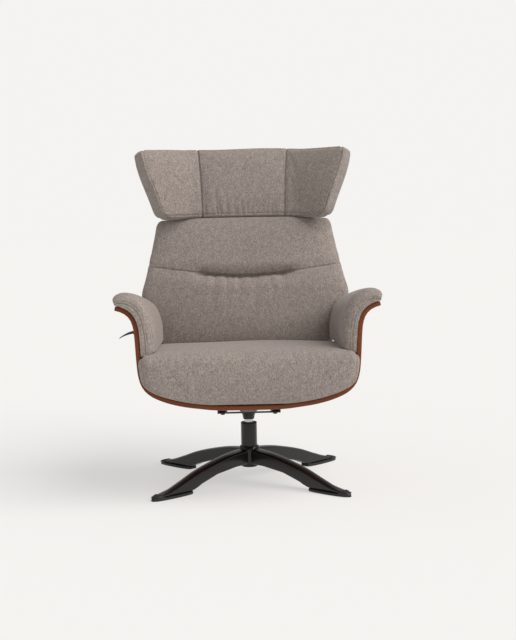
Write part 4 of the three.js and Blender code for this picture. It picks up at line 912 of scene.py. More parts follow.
def shell_piece():
    """The bent plywood shell, with UVs in metres along the bend and across it."""
    whole = np.vstack([(outer_line * (-1, 1))[:0:-1], outer_line])
    along = lengths(whole)
    half = np.array([along[-1] / 2, SHEET_HALF, SHELL_PLY / 2])
    raw, quads = gridded_box(half, SHEET_ROUND, SHEET_PITCHES)
    place = raw[:, 0] + half[0]
    base = read_along(whole, along, place)
    out = read_along(offset_line(whole, 1.0) - whole, along, place)
    point = base + out * (raw[:, 2] + half[2])[:, None]
    height = (base + out * half[2])[:, 1]
    tip = SHELL_FLOOR + SHELL_RISE

    def rounding(start, reach):
        """How far an edge draws back round a corner near the arm's tip."""
        corner = np.clip((height - (tip - start)) / reach, 0, 1)
        return ARM_CORNER * (1 - np.sqrt(1 - corner**2)) * 0.8

    front = SHELL_FRONT + 14 * np.clip((height - 258) / 273, 0, 1) + rounding(34, 48)
    rear = SHELL_FLOOR_REAR - SHELL_STEP * smoothstep(height, 298, 336)
    rear = rear + ARM_SPREAD * np.clip((height - 332) / 216, 0, 1)
    rear = rear - rounding(40, 54)
    y = front + (rear - front) * (raw[:, 1] / half[1] + 1) / 2
    # A quad on a broad face has its UV along and across the bend, and one on an edge through the plies
    uvs, kinds = [], []
    for quad in quads:
        spread = np.ptp(raw[quad], axis=0)
        flat = np.all(np.abs(np.abs(raw[quad][:, 2]) - half[2]) < 0.9)
        kinds.append(0 if flat else 1)
        for s, t, n in raw[quad] * MM:
            uvs.append((s, t) if flat else (s if spread[1] <= spread[0] else t, n))
    points = np.stack([point[:, 0], y, lowered(y, point[:, 1])], axis=1)
    piece = new_mesh("seat_shell", in_chair(points), quads, uvs)
    piece.data.polygons.foreach_set("material_index", kinds)
    return faced_out(piece)


# Star base
LEG_ROOT, LEG_TIP, STAR_REACH = 31.3, 402.0, 410.0
HUB_FLAT, TUBE_INNER, TUBE_OUTER, SPINDLE_RADIUS = 31.0, 22.0, 25.0, 14.0
LEG_WIDE, LEG_SLIM = 46.0, 30.0
FOOT_HEEL, FOOT_HALF, SOLE, TOE_TOP = 258.0, 22.0, 8.0, 17.5
LEG_TOP = [(0, 101), (0.18, 94), (0.36, 80.8), (0.55, 62.6), (0.72, 40.4), (0.87, 22.2), (1, 11.6)]
LEG_UNDER = [(0, 53), (0.12, 52.5), (0.34, 42.4), (0.52, 22.8), (0.6, 8.32), (1, 8.32)]
FOOT_OUTLINE = [(0, 0.62), (0.04, 0.8), (0.14, 0.94), (0.32, 1), (0.6, 0.94), (0.84, 0.74), (0.95, 0.5),
                (1, 0.2)]
FOOT_PLACES = [0, 0.006, 0.02, 0.045, *np.linspace(0.08, 0.74, 14), *np.linspace(0.765, 0.985, 14),
               0.994, 1]
LEGS = (("rear_right", 45), ("rear_left", 135), ("front_left", 225), ("front_right", 315))


def spun(points, degrees):
    """Points of a leg along +X, turned to its own direction."""
    a = math.radians(degrees)
    x, y, z = np.asarray(points, float).T
    return np.stack([x * math.cos(a) - y * math.sin(a), x * math.sin(a) + y * math.cos(a), z], axis=1)


def along_leg(name, sections, degrees):
    """A piece joined from (place, outline) sections along a leg, turned to the leg's direction."""
    points, faces = loft([np.insert(outline, 0, place, axis=1) for place, outline in sections])
    return solid(name, in_chair(spun(points, degrees)), faces, 50)


def leg_section(share):
    top = float(smooth_table(LEG_TOP, share))
    low = np.interp(share, *np.array(LEG_UNDER).T) + 2.5 * math.exp(-((share - 0.6) / 0.03) ** 2)
    low = max(8.3, float(low))
    half = (LEG_WIDE + (LEG_SLIM - LEG_WIDE) * share) / 2
    deep = top - low
    crown, shoulder, heel = min(2.2, deep * 0.12), min(6.5, deep * 0.35), min(5, deep * 0.3)
    outline = filleted([(-half * 0.93, low, heel), (half * 0.93, low, heel), (half, top - shoulder, 2.0),
                        (half - shoulder, top - crown, 2.4), (0, top, 60),
                        (shoulder - half, top - crown, 2.4), (-half, top - shoulder, 2.0)])
    return LEG_ROOT + (LEG_TIP - LEG_ROOT) * share, outline


def foot_section(share):
    """A boat-shaped foot: a long sole with a raised heel, and a toe cap that wraps the leg's tip."""
    share = float(share)

    def step(low, high):
        return float(smoothstep(share, low, high))

    half = FOOT_HALF * float(smooth_table(FOOT_OUTLINE, share))
    heel = 2.6 * math.exp(-((share - 0.03) / 0.03) ** 2)
    toe = step(0.765, 0.83) * (TOE_TOP - SOLE - 5.5 * step(0.83, 1))
    top = (SOLE + heel + toe) * (1 - 0.45 * step(0.96, 1)) - 2.2 * (1 - step(0, 0.02))
    round_top = min(half * 0.75, max(2.0, (toe + heel) * 0.62 + 1.5))
    outline = filleted([(-half, 0, 1.6), (half, 0, 1.6), (half, top, round_top), (-half, top, round_top)], 7)
    return FOOT_HEEL + (STAR_REACH - FOOT_HEEL) * share, outline


def hub_shape(points):
    """Flattens the hub where a leg butts against it."""
    points = points.copy()
    for _, degrees in LEGS:
        turned_back = spun(points, -degrees)
        turned_back[:, 0] = np.minimum(turned_back[:, 0], HUB_FLAT)
        points = spun(turned_back, degrees)
    return points


def turned_parts():
    """The base's turned pieces: name, finish, the piece that each stands for, and its outline."""
    top = span("column_tube")[1][2]
    (foot, head), (low, high) = ([v[2] for v in span(name)] for name in ("spindle", "swivel_cone"))
    bore, inner, outer = SPINDLE_RADIUS + FIT, TUBE_INNER, TUBE_OUTER
    return (
        ("hub", "coat", "base_hub", [(8.3, 52, 1), (30, 52, 3), (34, 58, 4), (34, 99, 5), (29, 107.7, 4),
                                     (outer + FIT, 108, 0.5), (outer + FIT, 60, 0), (8.3, 60, 0)]),
        ("tube", "coat", "column_tube", [(inner, 60.3, 0), (outer, 60.3, 0.5), (outer, top, 1.2),
                                         (inner, top, 0.8)]),
        ("bush", "nylon", "guide_bush", [(bore, top - 22, 0), (inner - FIT, top - 22, 0),
                                         (inner - FIT, top + FIT, 0), (outer, top + FIT, 0.4),
                                         (outer, top + 2.7, 1.2), (18.5, top + 2.7, 1.0),
                                         (bore, top + 1.6, 0.4)]),
        ("cap_under_hub", "nylon", "hub_cap", [(0, 41.7, 0), (24, 41.7, 4), (26, 45, 2), (26, 51.7, 0.6),
                                               (24, 51.7, 0), (24, 43.7, 0), (0, 43.7, 0)]),
        ("spindle_bar", "steel", "spindle", [(0, foot, 0), (8, foot, 1), (8, 68.6, 0),
                                             (SPINDLE_RADIUS, 68.6, 0.8), (SPINDLE_RADIUS, head, 0.4),
                                             (0, head, 0)]),
        ("trumpet_cone", "coat", "swivel_cone", [(bore, low, 0), (17.5, low, 1), (18.6, low + 9, 8),
                                                 (22, low + 20, 12), (33, high - 5, 3), (33, high, 0.5),
                                                 (bore, high, 0)]))


# Fasteners and stitches: one shape, repeated on the points of a mesh or a line
STITCH_REACH = 20.0


def node_group(name, output, **sockets):
    """A Geometry Nodes tree with named inputs and one output, and its inputs' sockets."""
    tree = bpy.data.node_groups.new(name, "GeometryNodeTree")
    for label, kind in sockets.items():
        tree.interface.new_socket(label.replace("_", " "), in_out="INPUT", socket_type=f"NodeSocket{kind}")
    tree.interface.new_socket(output, in_out="OUTPUT", socket_type="NodeSocketGeometry")
    return tree, node(tree, "NodeGroupInput").outputs


def given_out(tree, output, finish, **placing):
    """Puts an instance on every point, makes it plain mesh with a finish and hands it out."""
    placed = node(tree, "GeometryNodeInstanceOnPoints", placing)
    real = node(tree, "GeometryNodeRealizeInstances", {"Geometry": placed.outputs[0]})
    done = node(tree, "GeometryNodeSetMaterial", {"Geometry": real.outputs[0], "Material": finish})
    node(tree, "NodeGroupOutput", {output: done.outputs[0]})
    return tree


def fastener_tree(sides, washer):
    """Geometry Nodes: a fastener on every point, with named sizes."""
    tree, given = node_group("fasteners", "Fasteners", Places="Geometry", Head_Radius="Float",
                             Head_Height="Float", Shank_Radius="Float", Shank_Length="Float",
                             Finish="Material")
    whole = node(tree, "GeometryNodeJoinGeometry")

    def times(size, factor):
        return maths(tree, "MULTIPLY", given[size], factor)

    def join(kind, height, **sizes):
        """Adds a shape, raised by a height, to the fastener."""
        shape = node(tree, f"GeometryNodeMesh{kind}", spaced(sizes)).outputs["Mesh"]
        up = node(tree, "ShaderNodeCombineXYZ", {"Z": height}).outputs[0]
        moved = node(tree, "GeometryNodeTransform", {"Geometry": shape, "Translation": up})
        tree.links.new(moved.outputs[0], whole.inputs[0])

    join("Cone", times("Head Height", -1.0), Vertices=sides, Depth=given["Head Height"],
         Radius_Bottom=times("Head Radius", 0.86), Radius_Top=given["Head Radius"])
    join("Cylinder", times("Shank Length", 0.5), Vertices=16, Depth=given["Shank Length"],
         Radius=given["Shank Radius"])
    join("Cylinder", -washer / 2, Vertices=28, Depth=washer, Radius=times("Head Radius", 1.28))
    return given_out(tree, "Fasteners", given["Finish"], Points=given["Places"], Instance=whole.outputs[0])


def repeated(name, tree, places, **values):
    """A plain mesh of the pieces that a tree puts on points or lines, with its inputs given by name."""
    piece = places if isinstance(places, bpy.types.Object) else new_mesh(name, places, [])
    piece.name = name
    modifier = piece.modifiers.new("repeat", "NODES")
    modifier.node_group = tree
    for item in tree.interface.items_tree:
        if item.in_out == "INPUT" and item.name.replace(" ", "_") in values:
            modifier[item.identifier] = values[item.name.replace(" ", "_")]
    graph = bpy.context.evaluated_depsgraph_get()
    graph.update()
    mesh = bpy.data.meshes.new_from_object(piece.evaluated_get(graph))
    mesh.name = name
    bpy.data.objects.remove(piece)
    return added(name, mesh)


def stitch_tree():
    """Geometry Nodes: one stitch after another along a seam."""
    tree, given = node_group("stitches", "Stitches", Seam="Geometry", Pitch="Float", Size="Vector",
                             Thread="Material")
    spaced = node(tree, "GeometryNodeResampleCurve", {"Curve": given["Seam"], "Length": given["Pitch"]},
                  mode="LENGTH")
    turn = node(tree, "FunctionNodeAlignRotationToVector",
                {"Vector": node(tree, "GeometryNodeInputTangent").outputs[0]}, axis="Z")
    bead = node(tree, "GeometryNodeMeshUVSphere", {"Segments": 6, "Rings": 5, "Radius": 1.0}).outputs["Mesh"]
    smooth = node(tree, "GeometryNodeSetShadeSmooth", {"Geometry": bead})
    return given_out(tree, "Stitches", given["Thread"], Points=spaced.outputs[0], Instance=smooth.outputs[0],
                     Rotation=turn.outputs[0], Scale=given["Size"])


def stitched(name, cover, seams, pitch, length, radius=0.42):
    """Stitches along seams, given in millimetres in the chair, laid on the surface of their cover."""
    b = bmesh.new()
    b.from_mesh(cover.data)
    skin = BVHTree.FromBMesh(b)
    b.free()
    curve = bpy.data.curves.new(name, "CURVE")
    curve.dimensions = "3D"
    for seam in seams:
        found = [skin.find_nearest(Vector(point)) for point in np.asarray(seam, float) * MM]
        laid = [(*(spot + normal * radius * MM * 0.6), 1.0) for spot, normal, _, gap in found
                if gap < STITCH_REACH * MM]
        spline = curve.splines.new("POLY")
        spline.points.add(len(laid) - 1)
        spline.points.foreach_set("co", np.array(laid).ravel())
    return repeated(name, stitch_tree(), added(name, curve), Pitch=pitch, Thread=MATERIALS["thread"],
                    Size=(radius * MM, radius * MM, length / 2))


# Small rigid pieces
def softened(node_name, width):
    """A copy of a carried piece with its doubles merged and its edges broken by a small bevel."""
    piece = added(f"{node_name}_finished", frame["nodes"][node_name].data.copy())
    mesh = piece.data
    mesh.materials.clear()
    b = bmesh.new()
    b.from_mesh(mesh)
    bmesh.ops.remove_doubles(b, verts=b.verts, dist=2e-5)
    bmesh.ops.dissolve_limit(b, angle_limit=math.radians(1), verts=b.verts, edges=b.edges)
    b.to_mesh(mesh)
    b.free()
    mesh.polygons.foreach_set("use_smooth", [True] * len(mesh.polygons))
    bevel = piece.modifiers.new("broken_edges", "BEVEL")
    bevel.width, bevel.segments, bevel.limit_method = width * MM, 2, "ANGLE"
    bevel.angle_limit = math.radians(32)
    return creased(evaluated(piece), 30)


def joined(name, parts):
    """One mesh of several closed shapes, given as (points, faces) in millimetres."""
    faces, count = [], 0
    for points, part_faces in parts:
        faces += [[index + count for index in face] for face in part_faces]
        count += len(points)
    return solid(name, np.vstack([points for points, _ in parts]), faces)


def rounded_slab(low, high, radius, cells=3):
    """A slab between two corners with rounded edges, as points and faces."""
    low, high = np.array(low, float), np.array(high, float)
    half = (high - low) / 2
    points, quads = gridded_box(half, radius, np.maximum(half * 2 / cells, 1))
    return points + (low + high) / 2, quads


def round_bar(radius, start, end, centre, edge=0.6):
    """A round bar along Y with broken edges, as points and faces."""
    rings = bar_rings([(0, start, 0), (radius, start, edge), (radius, end, edge), (0, end, 0)], 32, 4)
    points, faces = loft(list(rings[:, :, [0, 2, 1]]))
    return points + centre, faces


# Release lever's own frame, on the outside of the shell
LEVER_Y, LEVER_Z, LEVER_PLATE = -120.0, 484.0, 18.0
LEVER_PIN = -9.7


def raised(y, height):
    """The height on the front section of a height measured further along the arm."""
    along = (y - SHELL_FRONT) / (SHELL_SIDE_REAR - SHELL_FRONT)
    bend, share = SHELL_FLOOR + SHELL_BEND, 1 - ARM_DROP * along / (SHELL_RISE - SHELL_BEND)
    return height if height < bend else bend + (height - bend) / share


def on_lever(points):
    """Points drawn beside the lever's plate, in the frame of the whole chair."""
    near, far = (float(np.interp(raised(LEVER_Y, LEVER_Z + rise), outer_line[:, 1], outer_line[:, 0]))
                 for rise in (-LEVER_PLATE / 2, LEVER_PLATE / 2))
    a = -math.atan2(far - near, LEVER_PLATE)
    x, y, z = np.asarray(points, float).T
    return in_chair(np.stack([x * math.cos(a) + z * math.sin(a) - (near + far) / 2, y + LEVER_Y,
                              z * math.cos(a) - x * math.sin(a) + LEVER_Z], axis=1))


def blade_piece():
    """The lever: a barrel round its pin and a thin blade that curves down and thins to its tip."""
    half = np.array([25.0, 31.0, 1.8])
    raw, quads = gridded_box(half, 1.2, (2.5, 5, 2))
    t = (1 - raw[:, 0] / half[0]) / 2
    width = 1 - 0.22 * smoothstep(t, 0.55, 1) - 0.2 * smoothstep(t, 0.93, 1)
    thick = 1 - 0.62 * smoothstep(t, 0.1, 1)
    blade = np.stack([LEVER_PIN - 50 * t, raw[:, 1] * width, raw[:, 2] * thick - 13.5 * t**2.1], axis=1)
    parts = (blade, quads), round_bar(4.0, -31.2, 31.2, (LEVER_PIN, 0, 0))
    return joined("lever_blade", [(on_lever(points), faces) for points, faces in parts])


def housing_piece():
    """The lever's plate on the shell, with an ear at each end of the pin."""
    parts = [rounded_slab((-3.7, -37, -9), (-0.7, 37, 9), 1.1)]
    for low, high in ((-37, -32), (32, 37)):
        parts.append(rounded_slab((LEVER_PIN, low, -5), (-1.7, high, 5), 1.0))
        parts.append(round_bar(5.0, low, high, (LEVER_PIN, 0, 0)))
    return joined("lever_plate", [(on_lever(points), faces) for points, faces in parts])


# Carried pieces and where they ride
BODY_OF = {name: body for body, names in frame["record"]["behaviour"]["bodies"].items() for name in names}
MATERIALS = {}


def span(node_name):
    """The lowest and highest place of a carried piece, in millimetres in the chair."""
    low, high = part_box(node_name)
    return np.array(low) / MM, np.array(high) / MM


def dress(piece, finish, *nodes, fill=None):
    """Gives a piece its finish and its body."""
    if not piece.data.materials:
        for name in (finish, "edge") if finish == "walnut" else (finish,):
            piece.data.materials.append(MATERIALS[name])
    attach(piece, BODY_OF[nodes[0]])
    return piece if fill is None else piece


def replacing(piece, finish, *nodes, fill=None):
    """Dresses a piece and lets it stand for carried pieces."""
    dress(piece, finish, *nodes, fill=fill)
    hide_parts(*nodes)


def colour_property(name, hex_value, description):
    return FloatVectorProperty(name=name, description=description, subtype="COLOR", size=4, min=0, max=1,
                               default=colour(hex_value))


def number_property(name, default, description, **limits):
    return FloatProperty(name=name, description=description, default=default, **{"min": 0, **limits})


def length_property(name, millimetres, description):
    return number_property(name, millimetres * MM, description, unit="LENGTH", precision=4)


class ReclinerUpholstery(bpy.types.PropertyGroup):
    """Colours and sizes of the cover."""
    light: colour_property("Light nap", "#9d928c", "Colour of the nap brushed towards the light")
    dark: colour_property("Dark nap", "#90867f", "Colour of the nap brushed away from the light")
    fleck: colour_property("Fleck", "#b6ada8", "Colour of the pale fibre ends")
    thread: colour_property("Thread", "#6d645e", "Colour of the sewing thread")
    grid: length_property("Cover grid", 8, "Size of a cover's facets before it is subdivided")
    stitch_pitch: length_property("Stitch pitch", 6.5, "Distance from one stitch to the next")
    stitch_length: length_property("Stitch length", 4.2, "Length of one stitch")


class ReclinerTimber(bpy.types.PropertyGroup):
    """Colours of the shell and the inner frame."""
    light: colour_property("Light walnut", "#9c5c2a", "Colour of the pale bands of the veneer")
    mid: colour_property("Walnut", "#7e421c", "Colour of the veneer")
    dark: colour_property("Dark walnut", "#532a12", "Colour of the dark bands of the veneer")
    edge: colour_property("Stained edge", "#85421a", "Colour of the stained edge of the plywood")
    edge_dark: colour_property("Dark layer", "#623012", "Colour of the edge's dark layers")
    beech: colour_property("Beech", "#c9a274", "Colour of the hidden beech plywood")


class ReclinerMetal(bpy.types.PropertyGroup):
    """Colours and sizes of the base and the fasteners."""
    coat: colour_property("Powder coat", "#0e0d0c", "Colour of the base's coating")
    nylon: colour_property("Nylon", "#1b1a19", "Colour of the moulded feet and bushes")
    steel: colour_property("Steel", "#c9cacc", "Colour of the ground steel")
    zinc: colour_property("Blackened zinc", "#3a3836", "Colour of the bolts and brackets")
    roughness: number_property("Coat roughness", 0.3, "Roughness of the powder coat", max=1,
                               subtype="FACTOR")
    edge: length_property("Broken edge", 0.8, "Bevel along the edges of sheet and block")


class ReclinerStudio(bpy.types.PropertyGroup):
    """The studio's paper, light and lens."""
    paper: colour_property("Paper", "#f4f3f1", "Colour of the seamless paper")
    sky: number_property("Soft light", 0.42, "Strength of the even light all round")
    key: number_property("Key light", 2.62, "Strength of the light from the upper right")
    softness: number_property("Light width", math.radians(58), "Angle that the lamp fills", subtype="ANGLE")
    # Painted light: the share of the paper's brightness that it emits by itself, to lighten the shadows on it
    painted_glow: number_property("Painted floor light", 0.56, "Share of the paper's brightness that is painted light", max=1,
                          subtype="FACTOR")
    lens: number_property("Lens", 92.29, "Focal length on a 36 mm wide frame", min=1, unit="CAMERA")


CAMERA_PLACE = (-0.0516, -4.1298, 0.86315)
CAMERA_TURN, CAMERA_DROP, CAMERA_ROLL = -0.02111, 0.08821, -0.01886
KEY_FROM = (2.0, -1.0, 2.3)
PAPER_REACH, PAPER_SIDES = 26000, 64


class ReclinerSettings(bpy.types.PropertyGroup):
    """Everything that a user may change."""
    upholstery: PointerProperty(type=ReclinerUpholstery)
    timber: PointerProperty(type=ReclinerTimber)
    metal: PointerProperty(type=ReclinerMetal)
    studio: PointerProperty(type=ReclinerStudio)


class RECLINER_OT_stage(bpy.types.Operator):
    """Sets up the camera, the paper and the light"""
    bl_idname = "recliner.stage"
    bl_label = "Studio"

    def execute(self, context):
        scene, look = context.scene, context.scene.recliner.studio
        lens = bpy.data.cameras.new("studio_camera")
        lens.sensor_fit, lens.sensor_width, lens.lens = "HORIZONTAL", 36.0, look.lens
        lens.clip_end = 60
        scene.camera = added("studio_camera", lens)
        scene.camera.matrix_world = (
            Matrix.Translation(CAMERA_PLACE) @ Matrix.Rotation(CAMERA_TURN, 4, "Z")
            @ Matrix.Rotation(math.pi / 2 - CAMERA_DROP, 4, "X") @ Matrix.Rotation(CAMERA_ROLL, 4, "Z"))
        scene.view_settings.view_transform = "Standard"
        angles = np.linspace(0, 2 * math.pi, PAPER_SIDES, endpoint=False)
        rim = [(math.cos(a) * PAPER_REACH, math.sin(a) * PAPER_REACH, -0.5) for a in angles]
        floor = new_mesh("studio_floor", rim, [range(PAPER_SIDES)], smooth=False)
        # The floor's emission is painted light that lightens the shade on it
        floor.data.materials.append(studio_paper("seamless_paper", look.paper, look.painted_glow))
        sun = bpy.data.lights.new("key_light", "SUN")
        sun.energy, sun.angle, sun.color = look.key, look.softness, (1.0, 0.985, 0.965)
        added("key_light", sun).rotation_euler = Vector(KEY_FROM).to_track_quat("Z", "Y").to_euler()
        scene.world = bpy.data.worlds.new("studio_air")
        scene.world.use_nodes = True
        tree = scene.world.node_tree
        tree.nodes.clear()
        light, behind = (node(tree, "ShaderNodeBackground", {"Color": tone, "Strength": strength}).outputs[0]
                         for tone, strength in ((grey(1), look.sky), (look.paper, 1.0)))
        seen = node(tree, "ShaderNodeLightPath").outputs["Is Camera Ray"]
        mixed = node(tree, "ShaderNodeMixShader", {0: seen, 1: light, 2: behind})
        node(tree, "ShaderNodeOutputWorld", {"Surface": mixed.outputs[0]})
        return {"FINISHED"}


class RECLINER_OT_finishes(bpy.types.Operator):
    """Makes the materials of the cover, the timber and the metal"""
    bl_idname = "recliner.finishes"
    bl_label = "Finishes"

    def execute(self, context):
        look = context.scene.recliner
        cover, timber, metals = look.upholstery, look.timber, look.metal
        MATERIALS.update(
            fabric=brushed_microfibre("brushed_microfibre", cover.light, cover.dark, cover.fleck),
            thread=seam_thread("polyester_thread", cover.thread),
            walnut=walnut_veneer("lacquered_walnut", timber.light, timber.mid, timber.dark),
            edge=stained_ply_edge("stained_ply_edge", timber.edge, timber.edge_dark),
            beech=beech_plywood("beech_plywood", timber.beech, colour("#a5814f")),
            coat=powder_coat("black_powder_coat", metals.coat, metals.roughness),
            nylon=moulded_nylon("moulded_nylon", metals.nylon),
            steel=metal("ground_steel", metals.steel, 0.18, 0.003, 0.06, (1, 1, 14)),
            zinc=metal("blackened_zinc", metals.zinc, 0.42, 0.004, 0.12))
        return {"FINISHED"}


class RECLINER_OT_seat(bpy.types.Operator):
    """Makes the seat cushion"""
    bl_idname = "recliner.seat"
    bl_label = "Seat cushion"

    def execute(self, context):
        grid = context.scene.recliner.upholstery.grid / MM
        stops = [rounded_stops(half, SEAT_RADIUS, grid, 6) for half in seat_half]
        piece = soft_piece("seat_cover", seat_half, SEAT_RADIUS, stops, seat_form, in_chair, seat_held,
                           (0.3, 0.5, 0.35), seat_detail, cap=10, shrink=1)
        replacing(piece, "fabric", "seat_cushion", fill=0.75)
        return {"FINISHED"}


class RECLINER_OT_arms(bpy.types.Operator):
    """Makes the two arm pads with their stitched fronts"""
    bl_idname = "recliner.arms"
    bl_label = "Arm pads"

    def execute(self, context):
        look = context.scene.recliner.upholstery
        grid = look.grid / MM
        nose = PAD_NOSE * (1 - np.cos(np.linspace(0, math.pi / 2, 14))) - pad_half[2]
        rows = [*nose, *np.linspace(nose[-1] + 7, pad_half[2] - 14, 56),
                *np.linspace(pad_half[2] - 9, pad_half[2], 4)]
        stops = (rounded_stops(pad_half[0], 3, grid), rounded_stops(pad_half[1], 3, grid), rows)
        along = np.linspace(8 - pad_half[0], pad_half[0] - 8, 60)
        for side, name in ((-1, "left"), (1, "right")):
            piece = soft_piece(f"arm_cover_{name}", pad_half, (3, 3, 0.5), stops,
                               lambda p, s=side: pad_form(p, s), in_chair, pad_held,
                               (0.7, 0.5, 0.7), pad_detail, cap=6, shrink=0.5)
            replacing(piece, "fabric", f"arm_pad_{name}", fill=0.7)
            seams = []
            for round_nose in PAD_SEAMS:
                away = PAD_NOSE * (1 - math.cos(round_nose / PAD_NOSE))
                raw = np.stack([along, np.full(60, pad_half[1]), np.full(60, away - pad_half[2])], axis=1)
                seams.append(in_chair(pad_form(raw, side)))
            stitches = stitched(f"arm_stitches_{name}", piece, seams, look.stitch_pitch, look.stitch_length)
            dress(stitches, "thread", f"arm_pad_{name}")
        return {"FINISHED"}


class RECLINER_OT_back(bpy.types.Operator):
    """Makes the back cushion with its lumbar seam, and the upholstered cover behind it"""
    bl_idname = "recliner.back"
    bl_label = "Back"

    def execute(self, context):
        grid = context.scene.recliner.upholstery.grid / MM
        near_seam = [LUMBAR + d for d in (-9, -5.5, -2.5, 0, 2.5, 5.5, 9)]
        stops = [rounded_stops(half, BACK_ROUND, grid, 5, seam)
                 for half, seam in zip(back_half, ((), (), near_seam))]
        piece = soft_piece("back_cover", back_half, BACK_ROUND, stops, back_form, in_back, back_held,
                           (0.25, 1.0, 0.25), back_detail, cap=13, shrink=1.5, boxes=at_posts(*GUIDE_ROOM))
        replacing(piece, "fabric", "back_cushion", fill=0.7)
        stops = [rounded_stops(half, COVER_ROUND, grid * 1.4) for half in cover_half]
        rear = soft_piece("back_rear_cover", cover_half, COVER_ROUND, stops, cover_form, in_back, cover_held,
                          (0.2, 0.6, 0.2), cover_detail, cap=6, shrink=1,
                          boxes=[BOARD_ROOM, *at_posts(*COVER_GUIDE_ROOM), CRANK_ROOM])
        replacing(rear, "fabric", "rear_cover", fill=0.3)
        flaps = [rounded_slab((low, 26.4, -40), (high, 34.6, 40), 3.6, 16)
                 for low, high in ((-205, -18.6), (18.6, 205))]
        skirt = joined("back_skirt", [(in_back(points), faces) for points, faces in flaps])
        dress(skirt, "fabric", "rear_cover", fill=0.1)
        return {"FINISHED"}


class RECLINER_OT_headrest(bpy.types.Operator):
    """Makes the winged headrest with its three panels, and the pad behind it"""
    bl_idname = "recliner.headrest"
    bl_label = "Headrest"

    def execute(self, context):
        grid = context.scene.recliner.upholstery.grid / MM * 0.85
        near_seam = [s * (HEAD_SEAM + d) for s in (-1, 1) for d in (-9, -5, -2.2, 0, 2.2, 5, 9)]
        stops = [rounded_stops(half, radius, grid, arcs, seams) for half, radius, arcs, seams
                 in zip(head_half, HEAD_ROUND, (4, 5, 5), (near_seam, (), ()))]
        piece = soft_piece("headrest_cover", head_half, HEAD_ROUND, stops, head_form, in_back, head_held,
                           (0.25, 1.0, 0.25), head_detail, cap=11, shrink=1, boxes=at_posts(*POST_ROOM))
        replacing(piece, "fabric", "headrest_cushion", fill=0.7)
        stops = [rounded_stops(half, HEAD_PAD_ROUND, grid * 1.4) for half in head_pad_half]
        rear = soft_piece("headrest_rear_cover", head_pad_half, HEAD_PAD_ROUND, stops, head_pad_form,
                          in_back, head_pad_held, (0.2, 0.6, 0.2), head_pad_detail, cap=6, shrink=1,
                          boxes=[CORE_ROOM])
        replacing(rear, "fabric", "headrest_rear_pad", fill=0.5)
        return {"FINISHED"}


class RECLINER_OT_shell(bpy.types.Operator):
    """Makes the bent walnut shell"""
    bl_idname = "recliner.shell"
    bl_label = "Seat shell"

    def execute(self, context):
        replacing(shell_piece(), "walnut", "bent_shell")
        return {"FINISHED"}


class RECLINER_OT_base(bpy.types.Operator):
    """Makes the star base, its column and the swivel"""
    bl_idname = "recliner.base"
    bl_label = "Star base"

    def execute(self, context):
        for corner, degrees in LEGS:
            leg = [leg_section(share) for share in np.linspace(0, 1, 56)]
            replacing(along_leg(f"leg_{corner}", leg, degrees), "coat", f"star_leg_{corner}")
            foot = [foot_section(share) for share in FOOT_PLACES]
            replacing(along_leg(f"foot_cap_{corner}", foot, degrees), "nylon", f"foot_{corner}")
        for name, finish, node_name, corners in turned_parts():
            replacing(turned(name, corners, hub_shape if name == "hub" else None), finish, node_name)
        return {"FINISHED"}


class RECLINER_OT_fasteners(bpy.types.Operator):
    """Makes the bolts and screws"""
    bl_idname = "recliner.fasteners"
    bl_label = "Fasteners"

    def execute(self, context):
        hexagon, round_head = fastener_tree(6, 1.2 * MM), fastener_tree(24, 0.6 * MM)
        for prefix, tree, seat, *sizes in (("tray_bolt", hexagon, 7.0, 7.0, 5.6, 4.0, 58),
                                           ("shell_bolt", round_head, 4.5, 7.0, 4.2, 3.0, 40),
                                           ("foot_screw", round_head, 2.5, 4.6, 2.4, 2.2, 15)):
            names = sorted(name for name in frame["nodes"] if name.startswith(prefix))
            places = []
            for low, high in map(span, names):
                places.append((*(low + high)[:2] / 2, low[2] + seat))
            head, height, shank, length = (size * MM for size in sizes)
            piece = repeated(f"{prefix}s", tree, places, Head_Radius=head, Head_Height=height,
                             Shank_Radius=shank, Shank_Length=length, Finish=MATERIALS["zinc"])
            replacing(creased(piece, 30), "zinc", *names)
        return {"FINISHED"}


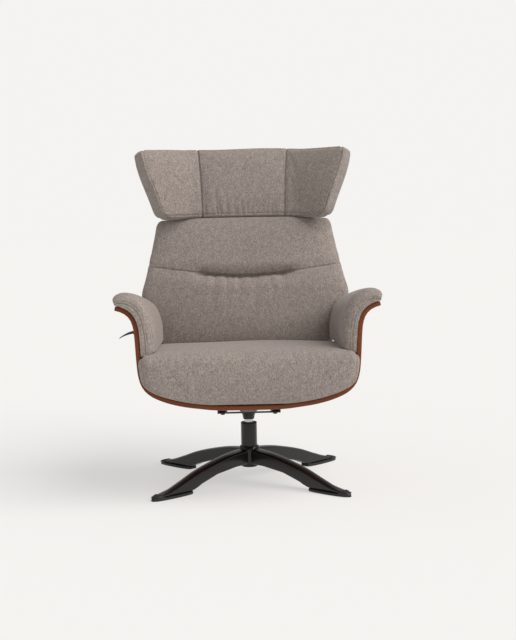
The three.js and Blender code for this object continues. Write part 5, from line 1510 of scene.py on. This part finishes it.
class RECLINER_OT_mechanism(bpy.types.Operator):
    """Finishes the frame, the hinges, the gas spring, the headrest's posts and the lever"""
    bl_idname = "recliner.mechanism"
    bl_label = "Mechanism"

    def execute(self, context):
        edge = context.scene.recliner.metal.edge / MM
        for finish, width, names in (
                ("beech", 1.2, ("seat_rail_left", "seat_rail_right", "seat_deck", "back_board",
                                "headrest_core")),
                ("zinc", edge, ("hinge_bracket_left", "hinge_bracket_right", "hinge_plate_left",
                                "hinge_plate_right", "crank", "gas_spring_bracket")),
                ("coat", edge, ("mechanism_tray", "gas_spring_cylinder")),
                ("nylon", 0.3, ("headrest_guide_left", "headrest_guide_right"))):
            for name in names:
                replacing(softened(name, width), finish, name)
        rings = bar_rings([(0, POST_LOW, 0), (POST_RADIUS, POST_LOW, 1), (POST_RADIUS, POST_HIGH, 2),
                           (0, POST_HIGH, 0)], 40, 5)
        for side, name in ((-1, "headrest_post_left"), (1, "headrest_post_right")):
            points, faces = loft(list(rings + (side * POST_APART, POST_Y, 0)))
            replacing(solid(f"{name}_bar", in_back(points), faces), "steel", name)
        replacing(blade_piece(), "nylon", "release_lever")
        replacing(housing_piece(), "nylon", "lever_housing")
        finishes = {"thrust_bearing": "steel", "spindle_clip": "zinc", "hinge_pin": "steel",
                    "gas_spring_rod": "steel", "headrest_crossbar": "steel", "lever_pin": "steel"}
        for name, piece in frame["nodes"].items():
            for prefix, finish in finishes.items():
                if name.startswith(prefix):
                    for place in piece.material_slots:
                        place.material = MATERIALS[finish]
        return {"FINISHED"}


STEPS = ("stage", "finishes", "seat", "arms", "back", "headrest", "shell", "base", "fasteners", "mechanism")


class RECLINER_PT_panel(bpy.types.Panel):
    """The recliner's steps and settings"""
    bl_label = "Swivel recliner"
    bl_idname = "RECLINER_PT_panel"
    bl_space_type = "VIEW_3D"
    bl_region_type = "UI"
    bl_category = "Recliner"

    def draw(self, context):
        for step in STEPS:
            self.layout.operator(f"recliner.{step}")
        look = context.scene.recliner
        for group in (look.upholstery, look.timber, look.metal, look.studio):
            box = self.layout.box()
            for name in group.__annotations__:
                box.prop(group, name)


CLASSES = (ReclinerUpholstery, ReclinerTimber, ReclinerMetal, ReclinerStudio, ReclinerSettings,
           RECLINER_OT_stage, RECLINER_OT_finishes, RECLINER_OT_seat, RECLINER_OT_arms, RECLINER_OT_back,
           RECLINER_OT_headrest, RECLINER_OT_shell, RECLINER_OT_base, RECLINER_OT_fasteners,
           RECLINER_OT_mechanism, RECLINER_PT_panel)


def register():
    for item in CLASSES:
        bpy.utils.register_class(item)
    bpy.types.Scene.recliner = PointerProperty(type=ReclinerSettings)


def unregister():
    del bpy.types.Scene.recliner
    for item in reversed(CLASSES):
        bpy.utils.unregister_class(item)


def main():
    register()
    for step in STEPS:
        getattr(bpy.ops.recliner, step)()


if __name__ == "__main__":
    main()
